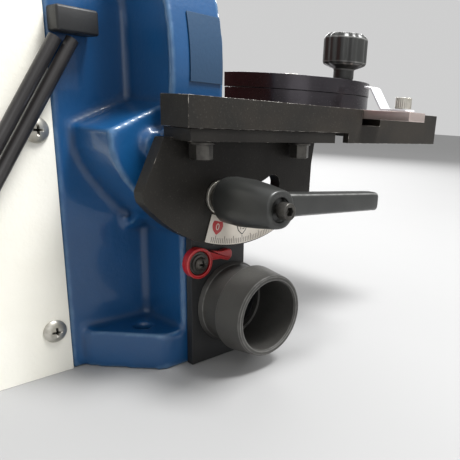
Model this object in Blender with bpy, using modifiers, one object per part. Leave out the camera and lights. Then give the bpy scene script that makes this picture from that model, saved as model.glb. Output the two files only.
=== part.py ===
"""Bench disc sander: cast body, motor enclosure, sanding disc, tilting table on half-moon
trunnions, clamping lever, mitre gauge, dust port and push-button switch.

Axes: +X is the dust-port side, +Y is the operator's side (the sanding face looks along +Y)
and +Z is up. The origin is on the bench surface, below the disc and in the sanding face's
plane to within a few millimetres. Dimensions below are in millimetres.
"""
import math

import bmesh
import bpy
from mathutils import Matrix, Vector

MM = 0.001
GAP = 0.3

# Body casting
BODY_HALF = 58.0
BODY_REAR_Y = -71.3
BODY_FRONT_Y = -26.0
WEB_REAR_Y = -27.5
BODY_TOP_Z = 225.0
BODY_CORNER = 30.0
BODY_WALL = 8.0
PAD_HALF = 96.0
PAD_REAR_Y = -20.0
PAD_FRONT_Y = 24.0
PAD_TOP_Z = 82.0
TOE_FRONT_Y = 46.0
TOE_TOP_Z = 50.0
EAR_THICK = 23.0
EAR_HOLE = (74.0, -34.0)
EAR_HOLE_R = 5.5
CORBEL_TIP = (-61.5, 139.6)
CORBEL_TOP_Z = 155.6

# Disc, guard and shaft
DISC_Z = 172.0
DISC_R = 101.6
DISC_FACE_Y = 4.5
GUARD_R = 108.0
GUARD_INNER_R = 104.3
GUARD_REAR_Y = -33.0
GUARD_FRONT_Y = 0.8
SHAFT_R = 8.5

# Motor and its enclosure
COVER_REAR_Y = -195.0
COVER_FRONT_Y = BODY_REAR_Y - GAP
COVER_SHEET = 1.2
COVER_SCREW_Y = (-80.5, -184.0)
COVER_SCREW_Z = (26.5, 137.0)
MOTOR_R = 46.0

# Table and trunnions
TABLE_HALF = 132.0
TABLE_TOP_Z = 158.4
TABLE_THICK = 15.1
TABLE_REAR_Y = -41.0
TABLE_FRONT_Y = 198.0
TABLE_RIM_Z = 137.0
ARM_INNER_X = 109.2
SKIRT_REAR_Y = 84.4
SKIRT_THICK = 4.5
TILT_Y = 5.0
TILT_Z = TABLE_TOP_Z
SLOT_Y = 108.7
SLOT_WIDTH = 21.0
SLOT_DEPTH = 9.9
WEB_INNER_X = 109.0
WEB_OUTER_X = 117.0
TRUNNION_R = 81.0
FLANGE_OUTER_X = 131.2
FLANGE_Y = (-39.2, 71.8)
FLANGE_Z = (136.9, 143.0)
TABLE_BOLT_X = 124.0
TABLE_BOLT_Y = (-27.6, 46.4)

# Clamp
CLAMP_Y = -10.0
CLAMP_Z = 106.5
STUD_R = 4.8
HUB_START_X = 121.7
HUB_END_X = 165.0
LEVER_TIP_Y = 78.3

# Mitre gauge
HEAD_X = 56.0
HEAD_R = 58.0
FENCE_X = 48.0
HEAD_BASE_Z = TABLE_TOP_Z + GAP
HEAD_STEP_Z = 167.7
HEAD_TOP_Z = 177.2
BAR_X = (-83.0, 167.1)
BAR_HALF = 9.55
BAR_THICK = 5.6
KNOB_X = 105.0
KNOB_SLOT_ANGLE = 66.0

# Dust port
PORT_Y = 12.8
PORT_Z = 36.2
PORT_X = (101.8, 119.5, 138.4)
PORT_BORE_R = 21.6
BLOCK_X = (96.3, 101.5)

# Flap lever
FLAP_Y = -15.2
FLAP_Z = 66.6

# Leads
LEAD_X = 65.0
LEAD_R = 3.2
LEAD_TOP = (-61.0, 181.7)
LEAD_BOTTOM = (-147.9, 42.0)
LEAD_PITCH = 8.6

AXES = {
    "X": Matrix.Rotation(math.radians(90), 4, "Y"),
    "Y": Matrix.Rotation(math.radians(-90), 4, "X"),
    "Z": Matrix.Identity(4),
}


def clear_scene():
    """Remove the objects of the open scene."""
    for item in list(bpy.data.objects):
        bpy.data.objects.remove(item, do_unlink=True)


def new_collection(name):
    """Return a new collection linked to the scene."""
    group = bpy.data.collections.new(name)
    bpy.context.scene.collection.children.link(group)
    return group


def paint(name, colour, roughness, metallic):
    """Return a plain Principled material."""
    material = bpy.data.materials.new(name)
    material.use_nodes = True
    shader = material.node_tree.nodes["Principled BSDF"]
    shader.inputs["Base Color"].default_value = (*colour, 1.0)
    shader.inputs["Roughness"].default_value = roughness
    shader.inputs["Metallic"].default_value = metallic
    material.diffuse_color = (*colour, 1.0)
    return material


clear_scene()
PARTS = new_collection("bench_disc_sander")
CUTTERS = new_collection("cutters")

BLUE = paint("blue_enamel", (0.02, 0.09, 0.22), 0.35, 0.0)
CREAM = paint("cream_enamel", (0.85, 0.84, 0.76), 0.45, 0.0)
IRON = paint("blackened_iron", (0.05, 0.045, 0.04), 0.55, 0.6)
STEEL = paint("bright_steel", (0.62, 0.62, 0.6), 0.3, 1.0)
DARK_STEEL = paint("black_oxide_steel", (0.06, 0.06, 0.06), 0.45, 0.7)
ALUMINIUM = paint("aluminium", (0.8, 0.8, 0.8), 0.35, 1.0)
ABRASIVE = paint("abrasive_grit", (0.2, 0.03, 0.02), 0.95, 0.0)
BLACK = paint("black_plastic", (0.03, 0.033, 0.035), 0.5, 0.0)
RED = paint("red_plastic", (0.5, 0.02, 0.03), 0.35, 0.0)
GREEN = paint("green_plastic", (0.02, 0.3, 0.06), 0.35, 0.0)
RUBBER = paint("black_rubber", (0.02, 0.02, 0.02), 0.7, 0.0)
WHITE = paint("white_scale", (0.8, 0.78, 0.7), 0.5, 0.0)
LABEL = paint("label_film", (0.16, 0.25, 0.36), 0.4, 0.0)


def make_object(name, mesh, material):
    """Add a mesh as a part, or as a cutter when it has no material."""
    item = bpy.data.objects.new(name, mesh)
    if material is None:
        CUTTERS.objects.link(item)
        item.hide_render = True
        item.display_type = "WIRE"
    else:
        PARTS.objects.link(item)
        mesh.materials.append(material)
    return item


def finish(name, bm, material):
    """Turn a bmesh in millimetres into an object in metres."""
    bmesh.ops.scale(bm, vec=Vector((MM, MM, MM)), verts=bm.verts)
    bmesh.ops.recalc_face_normals(bm, faces=bm.faces)
    mesh = bpy.data.meshes.new(name)
    bm.to_mesh(mesh)
    bm.free()
    return make_object(name, mesh, material)


def add_block(bm, x, y, z):
    """Add a box given its low and high X, Y and Z."""
    centre = Vector(((x[0] + x[1]) / 2, (y[0] + y[1]) / 2, (z[0] + z[1]) / 2))
    size = Matrix.Diagonal((x[1] - x[0], y[1] - y[0], z[1] - z[0], 1.0))
    bmesh.ops.create_cube(bm, size=1.0, matrix=Matrix.Translation(centre) @ size)


def add_rod(bm, axis, centre, span, radius, sides=48):
    """Add a cylinder along an axis; centre gives the two other coordinates."""
    order = {"X": (1, 2), "Y": (0, 2), "Z": (0, 1)}[axis]
    place = Vector((0.0, 0.0, 0.0))
    place["XYZ".index(axis)] = (span[0] + span[1]) / 2
    place[order[0]] = centre[0]
    place[order[1]] = centre[1]
    bmesh.ops.create_cone(
        bm, cap_ends=True, segments=sides, depth=span[1] - span[0],
        radius1=radius, radius2=radius,
        matrix=Matrix.Translation(place) @ AXES[axis])


def block(name, x, y, z, material=None, round_by=0.0):
    """Box object with optionally rounded edges."""
    bm = bmesh.new()
    add_block(bm, x, y, z)
    item = finish(name, bm, material)
    if round_by:
        soften(item, round_by)
    return item


def rod(name, axis, centre, span, radius, material=None, sides=48):
    """Cylinder object."""
    bm = bmesh.new()
    add_rod(bm, axis, centre, span, radius, sides)
    return finish(name, bm, material)


def plate(name, axis, outline, span, material=None):
    """Flat outline with thickness: a filled 2D curve, extruded along an axis.

    The outline's pairs are (Y, Z) for X, (X, Z) for Y and (X, Y) for Z.
    """
    curve = bpy.data.curves.new(name, "CURVE")
    curve.dimensions = "2D"
    curve.fill_mode = "BOTH"
    curve.extrude = (span[1] - span[0]) / 2 * MM
    spline = curve.splines.new("POLY")
    spline.points.add(len(outline) - 1)
    for point, (u, v) in zip(spline.points, outline):
        point.co = (u * MM, v * MM, 0.0, 1.0)
    spline.use_cyclic_u = True
    shape = bpy.data.objects.new(name, curve)
    bpy.context.scene.collection.objects.link(shape)
    bpy.context.view_layer.update()
    graph = bpy.context.evaluated_depsgraph_get()
    mesh = bpy.data.meshes.new_from_object(shape.evaluated_get(graph))
    bpy.data.objects.remove(shape, do_unlink=True)
    frames = {
        "X": Matrix(((0, 0, 1, 0), (1, 0, 0, 0), (0, 1, 0, 0), (0, 0, 0, 1))),
        "Y": Matrix(((1, 0, 0, 0), (0, 0, -1, 0), (0, 1, 0, 0), (0, 0, 0, 1))),
        "Z": Matrix.Identity(4),
    }
    middle = Vector((0.0, 0.0, 0.0))
    middle["XYZ".index(axis)] = (span[0] + span[1]) / 2 * MM
    mesh.transform(Matrix.Translation(middle) @ frames[axis])
    bm = bmesh.new()
    bm.from_mesh(mesh)
    bmesh.ops.remove_doubles(bm, verts=bm.verts, dist=0.00002)
    bmesh.ops.recalc_face_normals(bm, faces=bm.faces)
    bm.to_mesh(mesh)
    bm.free()
    mesh.name = name
    return make_object(name, mesh, material)


def turned(name, axis, centre, profile, material=None, sides=32):
    """Turned piece: a closed profile of (along, radius) pairs spun about its axis."""
    bm = bmesh.new()
    ring = [bm.verts.new((radius * MM, 0.0, along * MM)) for along, radius in profile]
    for first, second in zip(ring, ring[1:] + ring[:1]):
        bm.edges.new((first, second))
    mesh = bpy.data.meshes.new(name)
    bm.to_mesh(mesh)
    bm.free()
    item = make_object(name, mesh, material)
    spin = item.modifiers.new("turn", "SCREW")
    spin.axis = "Z"
    spin.angle = math.tau
    spin.screw_offset = 0.0
    spin.steps = sides
    spin.render_steps = sides
    spin.use_merge_vertices = True
    spin.merge_threshold = 0.00005
    spin.use_normal_calculate = True
    bpy.context.view_layer.update()
    graph = bpy.context.evaluated_depsgraph_get()
    solid = bpy.data.meshes.new_from_object(item.evaluated_get(graph))
    item.modifiers.clear()
    order = {"X": (1, 2), "Y": (0, 2), "Z": (0, 1)}[axis]
    place = Vector((0.0, 0.0, 0.0))
    place[order[0]] = centre[0] * MM
    place[order[1]] = centre[1] * MM
    solid.transform(Matrix.Translation(place) @ AXES[axis])
    bm = bmesh.new()
    bm.from_mesh(solid)
    bmesh.ops.remove_doubles(bm, verts=bm.verts, dist=0.00002)
    bmesh.ops.recalc_face_normals(bm, faces=bm.faces)
    bm.to_mesh(solid)
    bm.free()
    solid.name = name
    item.data = solid
    return item


def combine(target, tool, operation):
    """Boolean a cutter object into a part."""
    change = target.modifiers.new(tool.name, "BOOLEAN")
    change.object = tool
    change.operation = operation
    change.solver = "EXACT"


def cut(target, *tools):
    """Subtract cutters from a part."""
    for tool in tools:
        combine(target, tool, "DIFFERENCE")


def fuse(target, *tools):
    """Add cutters' solids to a part."""
    for tool in tools:
        combine(target, tool, "UNION")


def soften(item, width, segments=2):
    """Round the sharp edges."""
    bevel = item.modifiers.new("soften", "BEVEL")
    bevel.width = width * MM
    bevel.segments = segments
    bevel.limit_method = "ANGLE"
    bevel.angle_limit = math.radians(40)


def put_origin(item, x, y, z):
    """Move an object's origin to a point without moving its shape."""
    point = Vector((x, y, z)) * MM
    item.data.transform(Matrix.Translation(-point))
    item.location = point


def arc(centre, radius, start, end, steps):
    """Points on an arc; angles in degrees from straight down, positive towards +u."""
    points = []
    for index in range(steps + 1):
        angle = math.radians(start + (end - start) * index / steps)
        points.append((centre[0] + radius * math.sin(angle), centre[1] - radius * math.cos(angle)))
    return points


def round_top(half, top, corner, bottom):
    """Upright outline with two rounded top corners."""
    points = [(-half, bottom), (half, bottom)]
    points += [(x, z) for x, z in arc((half - corner, top - corner), corner, 90, 180, 8)]
    points += [(x, z) for x, z in arc((corner - half, top - corner), corner, 180, 270, 8)]
    return points


def mirrored(outline):
    """The outline on the other side of the middle plane."""
    return [(-x, y) for x, y in reversed(outline)]


# ---------------------------------------------------------------- body casting

def make_guard():
    """Ring round the disc with its web, a cutter to be fused to the body."""
    ring = rod("guard_ring", "Y", (0.0, DISC_Z), (GUARD_REAR_Y, GUARD_FRONT_Y), GUARD_R, sides=96)
    rear = rod("guard_rear_recess", "Y", (0.0, DISC_Z), (GUARD_REAR_Y - 10, WEB_REAR_Y),
               GUARD_INNER_R, sides=96)
    cut(ring, rear)
    return ring


def make_body():
    """Pedestal, pads, corbels, guard, ears and toe as one casting."""
    body = plate("body_casting", "Y",
                 round_top(BODY_HALF, BODY_TOP_Z, BODY_CORNER, 0.0),
                 (BODY_REAR_Y, BODY_FRONT_Y), BLUE)
    hollow = block("body_hollow", (-BODY_HALF + BODY_WALL, BODY_HALF - BODY_WALL),
                   (BODY_REAR_Y - 10, BODY_FRONT_Y - BODY_WALL),
                   (BODY_WALL, BODY_TOP_Z - 12))
    cut(body, hollow)
    corbel_side = [CORBEL_TIP, (-61.0, 129.0), (-58.2, 121.5), (-53.5, 113.8), (-46.0, 104.8),
                   (-38.0, 96.8), (-29.0, 89.2), (PAD_REAR_Y, PAD_TOP_Z), (PAD_REAR_Y, 60.0),
                   (0.0, 60.0), (0.0, 130.0), (WEB_REAR_Y + 2, 130.0),
                   (WEB_REAR_Y + 2, CORBEL_TOP_Z)]
    joins = [
        block("body_front", (-BODY_HALF, BODY_HALF), (BODY_FRONT_Y - 4, PAD_REAR_Y + 4), (0.0, 130.0)),
        block("pad", (-PAD_HALF, PAD_HALF), (PAD_REAR_Y, PAD_FRONT_Y), (0.0, PAD_TOP_Z)),
        block("toe", (-PAD_HALF, PAD_HALF), (PAD_REAR_Y + 10, TOE_FRONT_Y), (0.0, TOE_TOP_Z)),
        plate("corbel_right", "X", corbel_side, (BODY_HALF - 6, PAD_HALF)),
        plate("corbel_left", "X", corbel_side, (-PAD_HALF, -BODY_HALF + 6)),
        make_guard(),
        rod("clamp_boss_right", "X", (CLAMP_Y, CLAMP_Z), (80.0, WEB_INNER_X - GAP), 13.0),
        rod("clamp_boss_left", "X", (CLAMP_Y, CLAMP_Z), (GAP - WEB_INNER_X, -80.0), 13.0),
        rod("stop_boss_right", "X", (-37.0, 133.0), (88.0, 100.0), 7.0, sides=32),
        rod("stop_boss_left", "X", (-37.0, 133.0), (-100.0, -88.0), 7.0, sides=32),
    ]
    ear = [(53.0, -63.0), (62.0, -63.0), (94.5, -35.0), (96.3, -31.0), (95.7, -15.0), (53.0, -15.0)]
    joins.append(plate("ear_right", "Z", ear, (0.0, EAR_THICK)))
    joins.append(plate("ear_left", "Z", mirrored(ear), (0.0, EAR_THICK)))
    fuse(body, *joins)
    cuts = [
        rod("disc_cavity", "Y", (0.0, DISC_Z), (-21.0, 30.0), GUARD_INNER_R, sides=96),
        block("chamber", (-PAD_HALF + BODY_WALL, PAD_HALF - BODY_WALL), (-14.0, PAD_FRONT_Y - 6),
              (6.0, 92.0)),
        block("toe_hollow", (-PAD_HALF + BODY_WALL, PAD_HALF - BODY_WALL), (-10.0, TOE_FRONT_Y - 6),
              (6.0, TOE_TOP_Z - 6)),
        rod("bearing_bore", "Y", (0.0, DISC_Z), (BODY_FRONT_Y - 12, -15.0), 17.5),
        rod("port_bore_right", "X", (PORT_Y, PORT_Z), (80.0, 110.0), PORT_BORE_R - 1),
        rod("port_bore_left", "X", (PORT_Y, PORT_Z), (-110.0, -80.0), PORT_BORE_R - 1),
        rod("stud_bore_right", "X", (CLAMP_Y, CLAMP_Z), (90.0, 115.0), STUD_R + GAP, sides=24),
        rod("stud_bore_left", "X", (CLAMP_Y, CLAMP_Z), (-115.0, -90.0), STUD_R + GAP, sides=24),
    ]
    for side in (-1, 1):
        cuts.append(rod("ear_hole", "Z", (side * EAR_HOLE[0], EAR_HOLE[1]), (-5.0, 40.0),
                        EAR_HOLE_R, sides=32))
    cut(body, *cuts)
    return body


def make_label():
    """Blank film label wrapped on the guard's side."""
    inner = arc((0.0, DISC_Z), GUARD_R + GAP, 86.5, 104.0, 6)
    outer = arc((0.0, DISC_Z), GUARD_R + GAP + 0.5, 104.0, 86.5, 6)
    plate("guard_label", "Y", inner + outer, (-22.0, -1.0), LABEL)


# ---------------------------------------------------------------- disc and motor

def make_disc():
    """Aluminium disc with its hub, the abrasive sheet and the hub's grub screw."""
    turned("disc_plate", "Y", (0.0, DISC_Z), [
        (-18.0, SHAFT_R + GAP), (-18.0, 22.0), (-8.0, 22.0), (-8.0, DISC_R),
        (DISC_FACE_Y - 1.1, DISC_R), (DISC_FACE_Y - 1.1, SHAFT_R + GAP)], ALUMINIUM, 96)
    turned("abrasive_disc", "Y", (0.0, DISC_Z), [
        (DISC_FACE_Y - 0.8, 0.0), (DISC_FACE_Y - 0.8, DISC_R - 0.4),
        (DISC_FACE_Y, DISC_R - 0.4), (DISC_FACE_Y, 0.0)], ABRASIVE, 96)
    rod("arbor_shaft", "Y", (0.0, DISC_Z), (-187.0, DISC_FACE_Y - 1.5), SHAFT_R, STEEL)


def make_motor():
    """Motor on its mounting plate, with bearings, rotor and fan."""
    mount = block("motor_mount_plate", (-56.3, 56.3), (-76.0, COVER_FRONT_Y), (90.0, 222.0), BLUE)
    trim = plate("mount_trim", "Y", round_top(56.3, BODY_TOP_Z - 2.0, 28.5, 0.0), (-80.0, -60.0))
    combine(mount, trim, "INTERSECT")
    cut(mount, rod("mount_bore", "Y", (0.0, DISC_Z), (-90.0, -60.0), 14.0))
    front = -76.0 - GAP
    turned("motor_front_bell", "Y", (0.0, DISC_Z), [
        (front, 14.0), (front, 40.0), (front - 4, MOTOR_R), (front - 12, MOTOR_R),
        (front - 12, 14.0)], IRON)
    turned("motor_can", "Y", (0.0, DISC_Z), [
        (front - 12 - GAP, 32.0), (front - 12 - GAP, MOTOR_R - 0.8), (-165.0, MOTOR_R - 0.8),
        (-165.0, 32.0)], BLACK, 64)
    turned("motor_rear_bell", "Y", (0.0, DISC_Z), [
        (-165.0 - GAP, 14.0), (-165.0 - GAP, MOTOR_R), (-171.0, MOTOR_R), (-176.0, 38.0),
        (-176.0, 14.0)], IRON)
    turned("motor_rotor", "Y", (0.0, DISC_Z), [
        (-160.0, SHAFT_R + GAP), (-160.0, 31.0), (-95.0, 31.0), (-95.0, SHAFT_R + GAP)], DARK_STEEL)
    for name, low, high, outer in (("front_bearing", -34.5, -23.0, 17.2),
                                   ("motor_front_bearing", -86.0, -78.0, 13.7),
                                   ("motor_rear_bearing", -175.0, -167.0, 13.7)):
        turned(name, "Y", (0.0, DISC_Z), [
            (low, SHAFT_R + GAP), (low, outer), (high, outer), (high, SHAFT_R + GAP)], STEEL)
    fan = turned("cooling_fan", "Y", (0.0, DISC_Z), [
        (-184.0, SHAFT_R + GAP), (-184.0, 14.0), (-180.0, 14.0), (-180.0, 42.0), (-178.0, 42.0),
        (-178.0, SHAFT_R + GAP)], BLACK)
    for index in range(8):
        blade = block("fan_blade", (13.0, 41.0), (-185.0, -179.0), (DISC_Z - 1.0, DISC_Z + 1.0))
        put_origin(blade, 0.0, 0.0, DISC_Z)
        blade.rotation_euler.y = math.tau * index / 8
        fuse(fan, blade)


def make_cover():
    """Sheet enclosure, back panel with vents, and the screws."""
    outer = round_top(BODY_HALF, BODY_TOP_Z, BODY_CORNER, 0.0)
    cover = plate("motor_cover", "Y", outer, (COVER_REAR_Y, COVER_FRONT_Y), CREAM)
    inner = round_top(BODY_HALF - COVER_SHEET, BODY_TOP_Z - COVER_SHEET,
                      BODY_CORNER - COVER_SHEET, -10.0)
    cut(cover, plate("cover_room", "Y", inner, (COVER_REAR_Y - 10, COVER_FRONT_Y + 10)))
    fit = COVER_SHEET + GAP
    back = plate("cover_back", "Y",
                 round_top(BODY_HALF - fit, BODY_TOP_Z - fit, BODY_CORNER - fit, 0.0),
                 (COVER_REAR_Y + 1.0, COVER_REAR_Y + 2.5), CREAM)
    for index in range(6):
        z = 140.0 + 12.0 * index
        cut(back, block("vent", (-34.0, 34.0), (COVER_REAR_Y - 5, COVER_REAR_Y + 9), (z, z + 5.0)))
    number = 0
    for side in (1, -1):
        for y in COVER_SCREW_Y:
            for z in COVER_SCREW_Z:
                number += 1
                hole = rod("cover_hole", "X", (y, z), sorted((side * 50.0, side * 70.0)), 2.8, sides=20)
                cut(cover, hole)
                make_cover_screw(f"cover_screw_{number}", side, y, z)


def make_cover_screw(name, side, y, z):
    """Truss-head screw along X: a domed head on a shank."""
    face = BODY_HALF + GAP
    profile = [(-7.0, 0.0), (-7.0, 2.4), (0.0, 2.4), (0.0, 6.6), (1.2, 6.6), (2.3, 5.2), (3.0, 2.8),
               (3.2, 0.0)]
    turned(name, "X", (y, z), [(side * (face + along), radius) for along, radius in profile], STEEL, 20)


# ---------------------------------------------------------------- table and trunnions

def make_table():
    """Cast table: plate with two rear arms, a skirt round its front part, mitre slot and bolt holes."""
    under = TABLE_TOP_Z - TABLE_THICK
    side = [(TABLE_REAR_Y, under), (SKIRT_REAR_Y, under), (SKIRT_REAR_Y, TABLE_RIM_Z),
            (TABLE_FRONT_Y, TABLE_RIM_Z), (TABLE_FRONT_Y, TABLE_TOP_Z), (TABLE_REAR_Y, TABLE_TOP_Z)]
    table = plate("table_casting", "X", side, (-TABLE_HALF, TABLE_HALF), IRON)
    relief = [(-50.0, 170.0), (TILT_Y + 1.5, 170.0), (TILT_Y + 1.5, TABLE_TOP_Z - 0.8),
              (TILT_Y + 17.2, under - 0.4), (TILT_Y + 17.2, 130.0), (-50.0, 130.0)]
    half_slot = SLOT_WIDTH / 2
    skirt_inner = TABLE_HALF - SKIRT_THICK
    cut(table,
        plate("disc_relief", "X", relief, (-ARM_INNER_X, ARM_INNER_X)),
        block("mitre_slot", (-150.0, 150.0), (SLOT_Y - half_slot, SLOT_Y + half_slot),
              (TABLE_TOP_Z - SLOT_DEPTH, 170.0)),
        block("skirt_room", (-skirt_inner, skirt_inner), (SKIRT_REAR_Y - 8, TABLE_FRONT_Y - SKIRT_THICK),
              (130.0, under + 0.6)))
    for side in (-1, 1):
        for y in TABLE_BOLT_Y:
            cut(table, rod("table_tapping", "Z", (side * TABLE_BOLT_X, y), (130.0, 152.0), 4.2, sides=24))
    put_origin(table, 0.0, TILT_Y, TILT_Z)


def on_arc(radius, angle):
    """Point at a radius and an angle, in degrees from straight down, about the tilt axis."""
    turn = math.radians(angle)
    return (TILT_Y + radius * math.sin(turn), TILT_Z - radius * math.cos(turn))


def make_trunnion(name, side):
    """Half-moon plate with its top flange and the arc slot for the clamp stud."""
    low, high = sorted((side * WEB_INNER_X, side * WEB_OUTER_X))
    outline = [(-44.5, 138.0), (-57.5, 111.5), (-57.3, 108.5)]
    outline += arc((TILT_Y, TILT_Z), TRUNNION_R, -49.5, 49.0, 30)
    outline += [(66.5, 123.0), (68.8, 138.0)]
    web = plate(name, "X", outline, (low, high), IRON)
    flange_x = sorted((side * WEB_INNER_X, side * FLANGE_OUTER_X))
    fuse(web, block("flange", flange_x, FLANGE_Y, FLANGE_Z))
    clamp_r = math.hypot(CLAMP_Y - TILT_Y, CLAMP_Z - TILT_Z)
    start = math.degrees(math.atan2(CLAMP_Y - TILT_Y, TILT_Z - CLAMP_Z))
    slot = arc((TILT_Y, TILT_Z), clamp_r + 5.8, start, start + 46.0, 20)
    slot += arc(on_arc(clamp_r, start + 46.0), 5.8, start + 46.0 + 22.5, start + 46.0 + 157.5, 6)
    slot += arc((TILT_Y, TILT_Z), clamp_r - 5.8, start + 46.0, start, 20)
    slot += arc(on_arc(clamp_r, start), 5.8, start + 180.0 + 22.5, start + 180.0 + 157.5, 6)
    cut(web, plate("clamp_slot", "X", slot, (low - 5, high + 5)))
    for y in TABLE_BOLT_Y:
        cut(web, rod("flange_hole", "Z", (side * TABLE_BOLT_X, y), (130.0, 150.0), 4.2, sides=24))
    put_origin(web, 0.0, TILT_Y, TILT_Z)


def make_table_hardware():
    """Four flanged table bolts and the tilt scale."""
    number = 0
    for side in (1, -1):
        for y in TABLE_BOLT_Y:
            number += 1
            bolt = turned(f"table_bolt_{number}", "Z", (side * TABLE_BOLT_X, y), [
                (127.4, 0.0), (127.4, 5.0), (135.2, 5.0), (135.2, 6.6), (136.6, 6.6), (136.6, 3.9),
                (150.0, 3.9), (150.0, 0.0)], DARK_STEEL, 24)
            put_origin(bolt, 0.0, TILT_Y, TILT_Z)
    edge = arc((TILT_Y, TILT_Z), 80.2, -18.4, 33.0, 18) + arc((TILT_Y, TILT_Z), 64.2, 33.0, -18.4, 18)
    scale = plate("tilt_scale", "X", edge, (WEB_OUTER_X + GAP, WEB_OUTER_X + GAP + 0.5), WHITE)
    put_origin(scale, 0.0, TILT_Y, TILT_Z)


# ---------------------------------------------------------------- clamp

def make_clamp():
    """Right-hand clamping lever on its stud, and the plain bolt of the left trunnion."""
    rod("clamp_stud", "X", (CLAMP_Y, CLAMP_Z), (90.3, 150.0), STUD_R, STEEL, sides=32)
    face = WEB_OUTER_X + GAP
    turned("clamp_washer", "X", (CLAMP_Y, CLAMP_Z), [
        (face, STUD_R + GAP), (face, 9.5), (face + 2.0, 9.5), (face + 2.0, STUD_R + GAP)], STEEL)
    turned("clamp_spring_washer", "X", (CLAMP_Y, CLAMP_Z), [
        (face + 2.3, STUD_R + GAP), (face + 2.3, 8.3), (face + 4.1, 8.3),
        (face + 4.1, STUD_R + GAP)], DARK_STEEL)
    hub = turned("clamp_lever", "X", (CLAMP_Y, CLAMP_Z), [
        (HUB_START_X, STUD_R + GAP), (HUB_START_X, 9.0), (124.0, 9.2), (127.5, 12.4), (141.0, 12.4),
        (HUB_END_X - 0.6, 9.6), (HUB_END_X, 9.0), (HUB_END_X, 2.8), (152.0, 2.8),
        (152.0, STUD_R + GAP)], BLACK)
    arm = [(CLAMP_Y + 1.0, 115.0), (-2.0, 114.2), (LEVER_TIP_Y - 1.2, 109.9), (LEVER_TIP_Y, 108.6),
           (LEVER_TIP_Y, 99.9), (LEVER_TIP_Y - 1.2, 98.6), (-2.0, 101.8), (CLAMP_Y + 1.0, 98.5)]
    handle = plate("lever_arm", "X", arm, (153.5, HUB_END_X - 0.8))
    cut(handle, rod("arm_clearance", "X", (CLAMP_Y, CLAMP_Z), (130.0, 180.0), 8.0))
    fuse(hub, handle)
    put_origin(hub, 0.0, CLAMP_Y, CLAMP_Z)
    start = HUB_END_X + GAP
    cap = turned("clamp_cap_screw", "X", (CLAMP_Y, CLAMP_Z), [
        (154.0, 0.0), (154.0, 2.4), (start, 2.4), (start, 4.4), (start + 5.6, 4.4), (start + 6.0, 4.0),
        (start + 6.0, 2.0), (start + 3.0, 2.0), (start + 3.0, 0.0)], DARK_STEEL)
    put_origin(cap, 0.0, CLAMP_Y, CLAMP_Z)
    turned("left_clamp_bolt", "X", (CLAMP_Y, CLAMP_Z), [
        (-90.3, 0.0), (-90.3, STUD_R), (-119.6, STUD_R), (-119.6, 9.0), (-126.0, 9.0),
        (-126.6, 8.2), (-126.6, 0.0)], DARK_STEEL)
    turned("left_clamp_washer", "X", (CLAMP_Y, CLAMP_Z), [
        (-face, STUD_R + GAP), (-face, 10.0), (-face - 2.0, 10.0), (-face - 2.0, STUD_R + GAP)], STEEL)


# ---------------------------------------------------------------- mitre gauge

def half_round(radius):
    """Outline of the gauge head: a round nose towards +X and a flat face at the fence."""
    drop = math.asin((HEAD_X - FENCE_X) / radius)
    points = []
    steps = 48
    for index in range(steps + 1):
        angle = -math.pi / 2 - drop + (math.pi + 2 * drop) * index / steps
        points.append((HEAD_X + radius * math.cos(angle), SLOT_Y + radius * math.sin(angle)))
    return points


def arc_slot(radius, half_width, half_angle, steps=20):
    """Outline of a curved slot about the gauge's pivot."""
    points = []
    for rim, sign in ((radius + half_width, 1), (radius - half_width, -1)):
        for index in range(steps + 1):
            angle = math.radians(half_angle) * sign * (2 * index / steps - 1)
            points.append((HEAD_X + rim * math.cos(angle), SLOT_Y + rim * math.sin(angle)))
    return points


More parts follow.
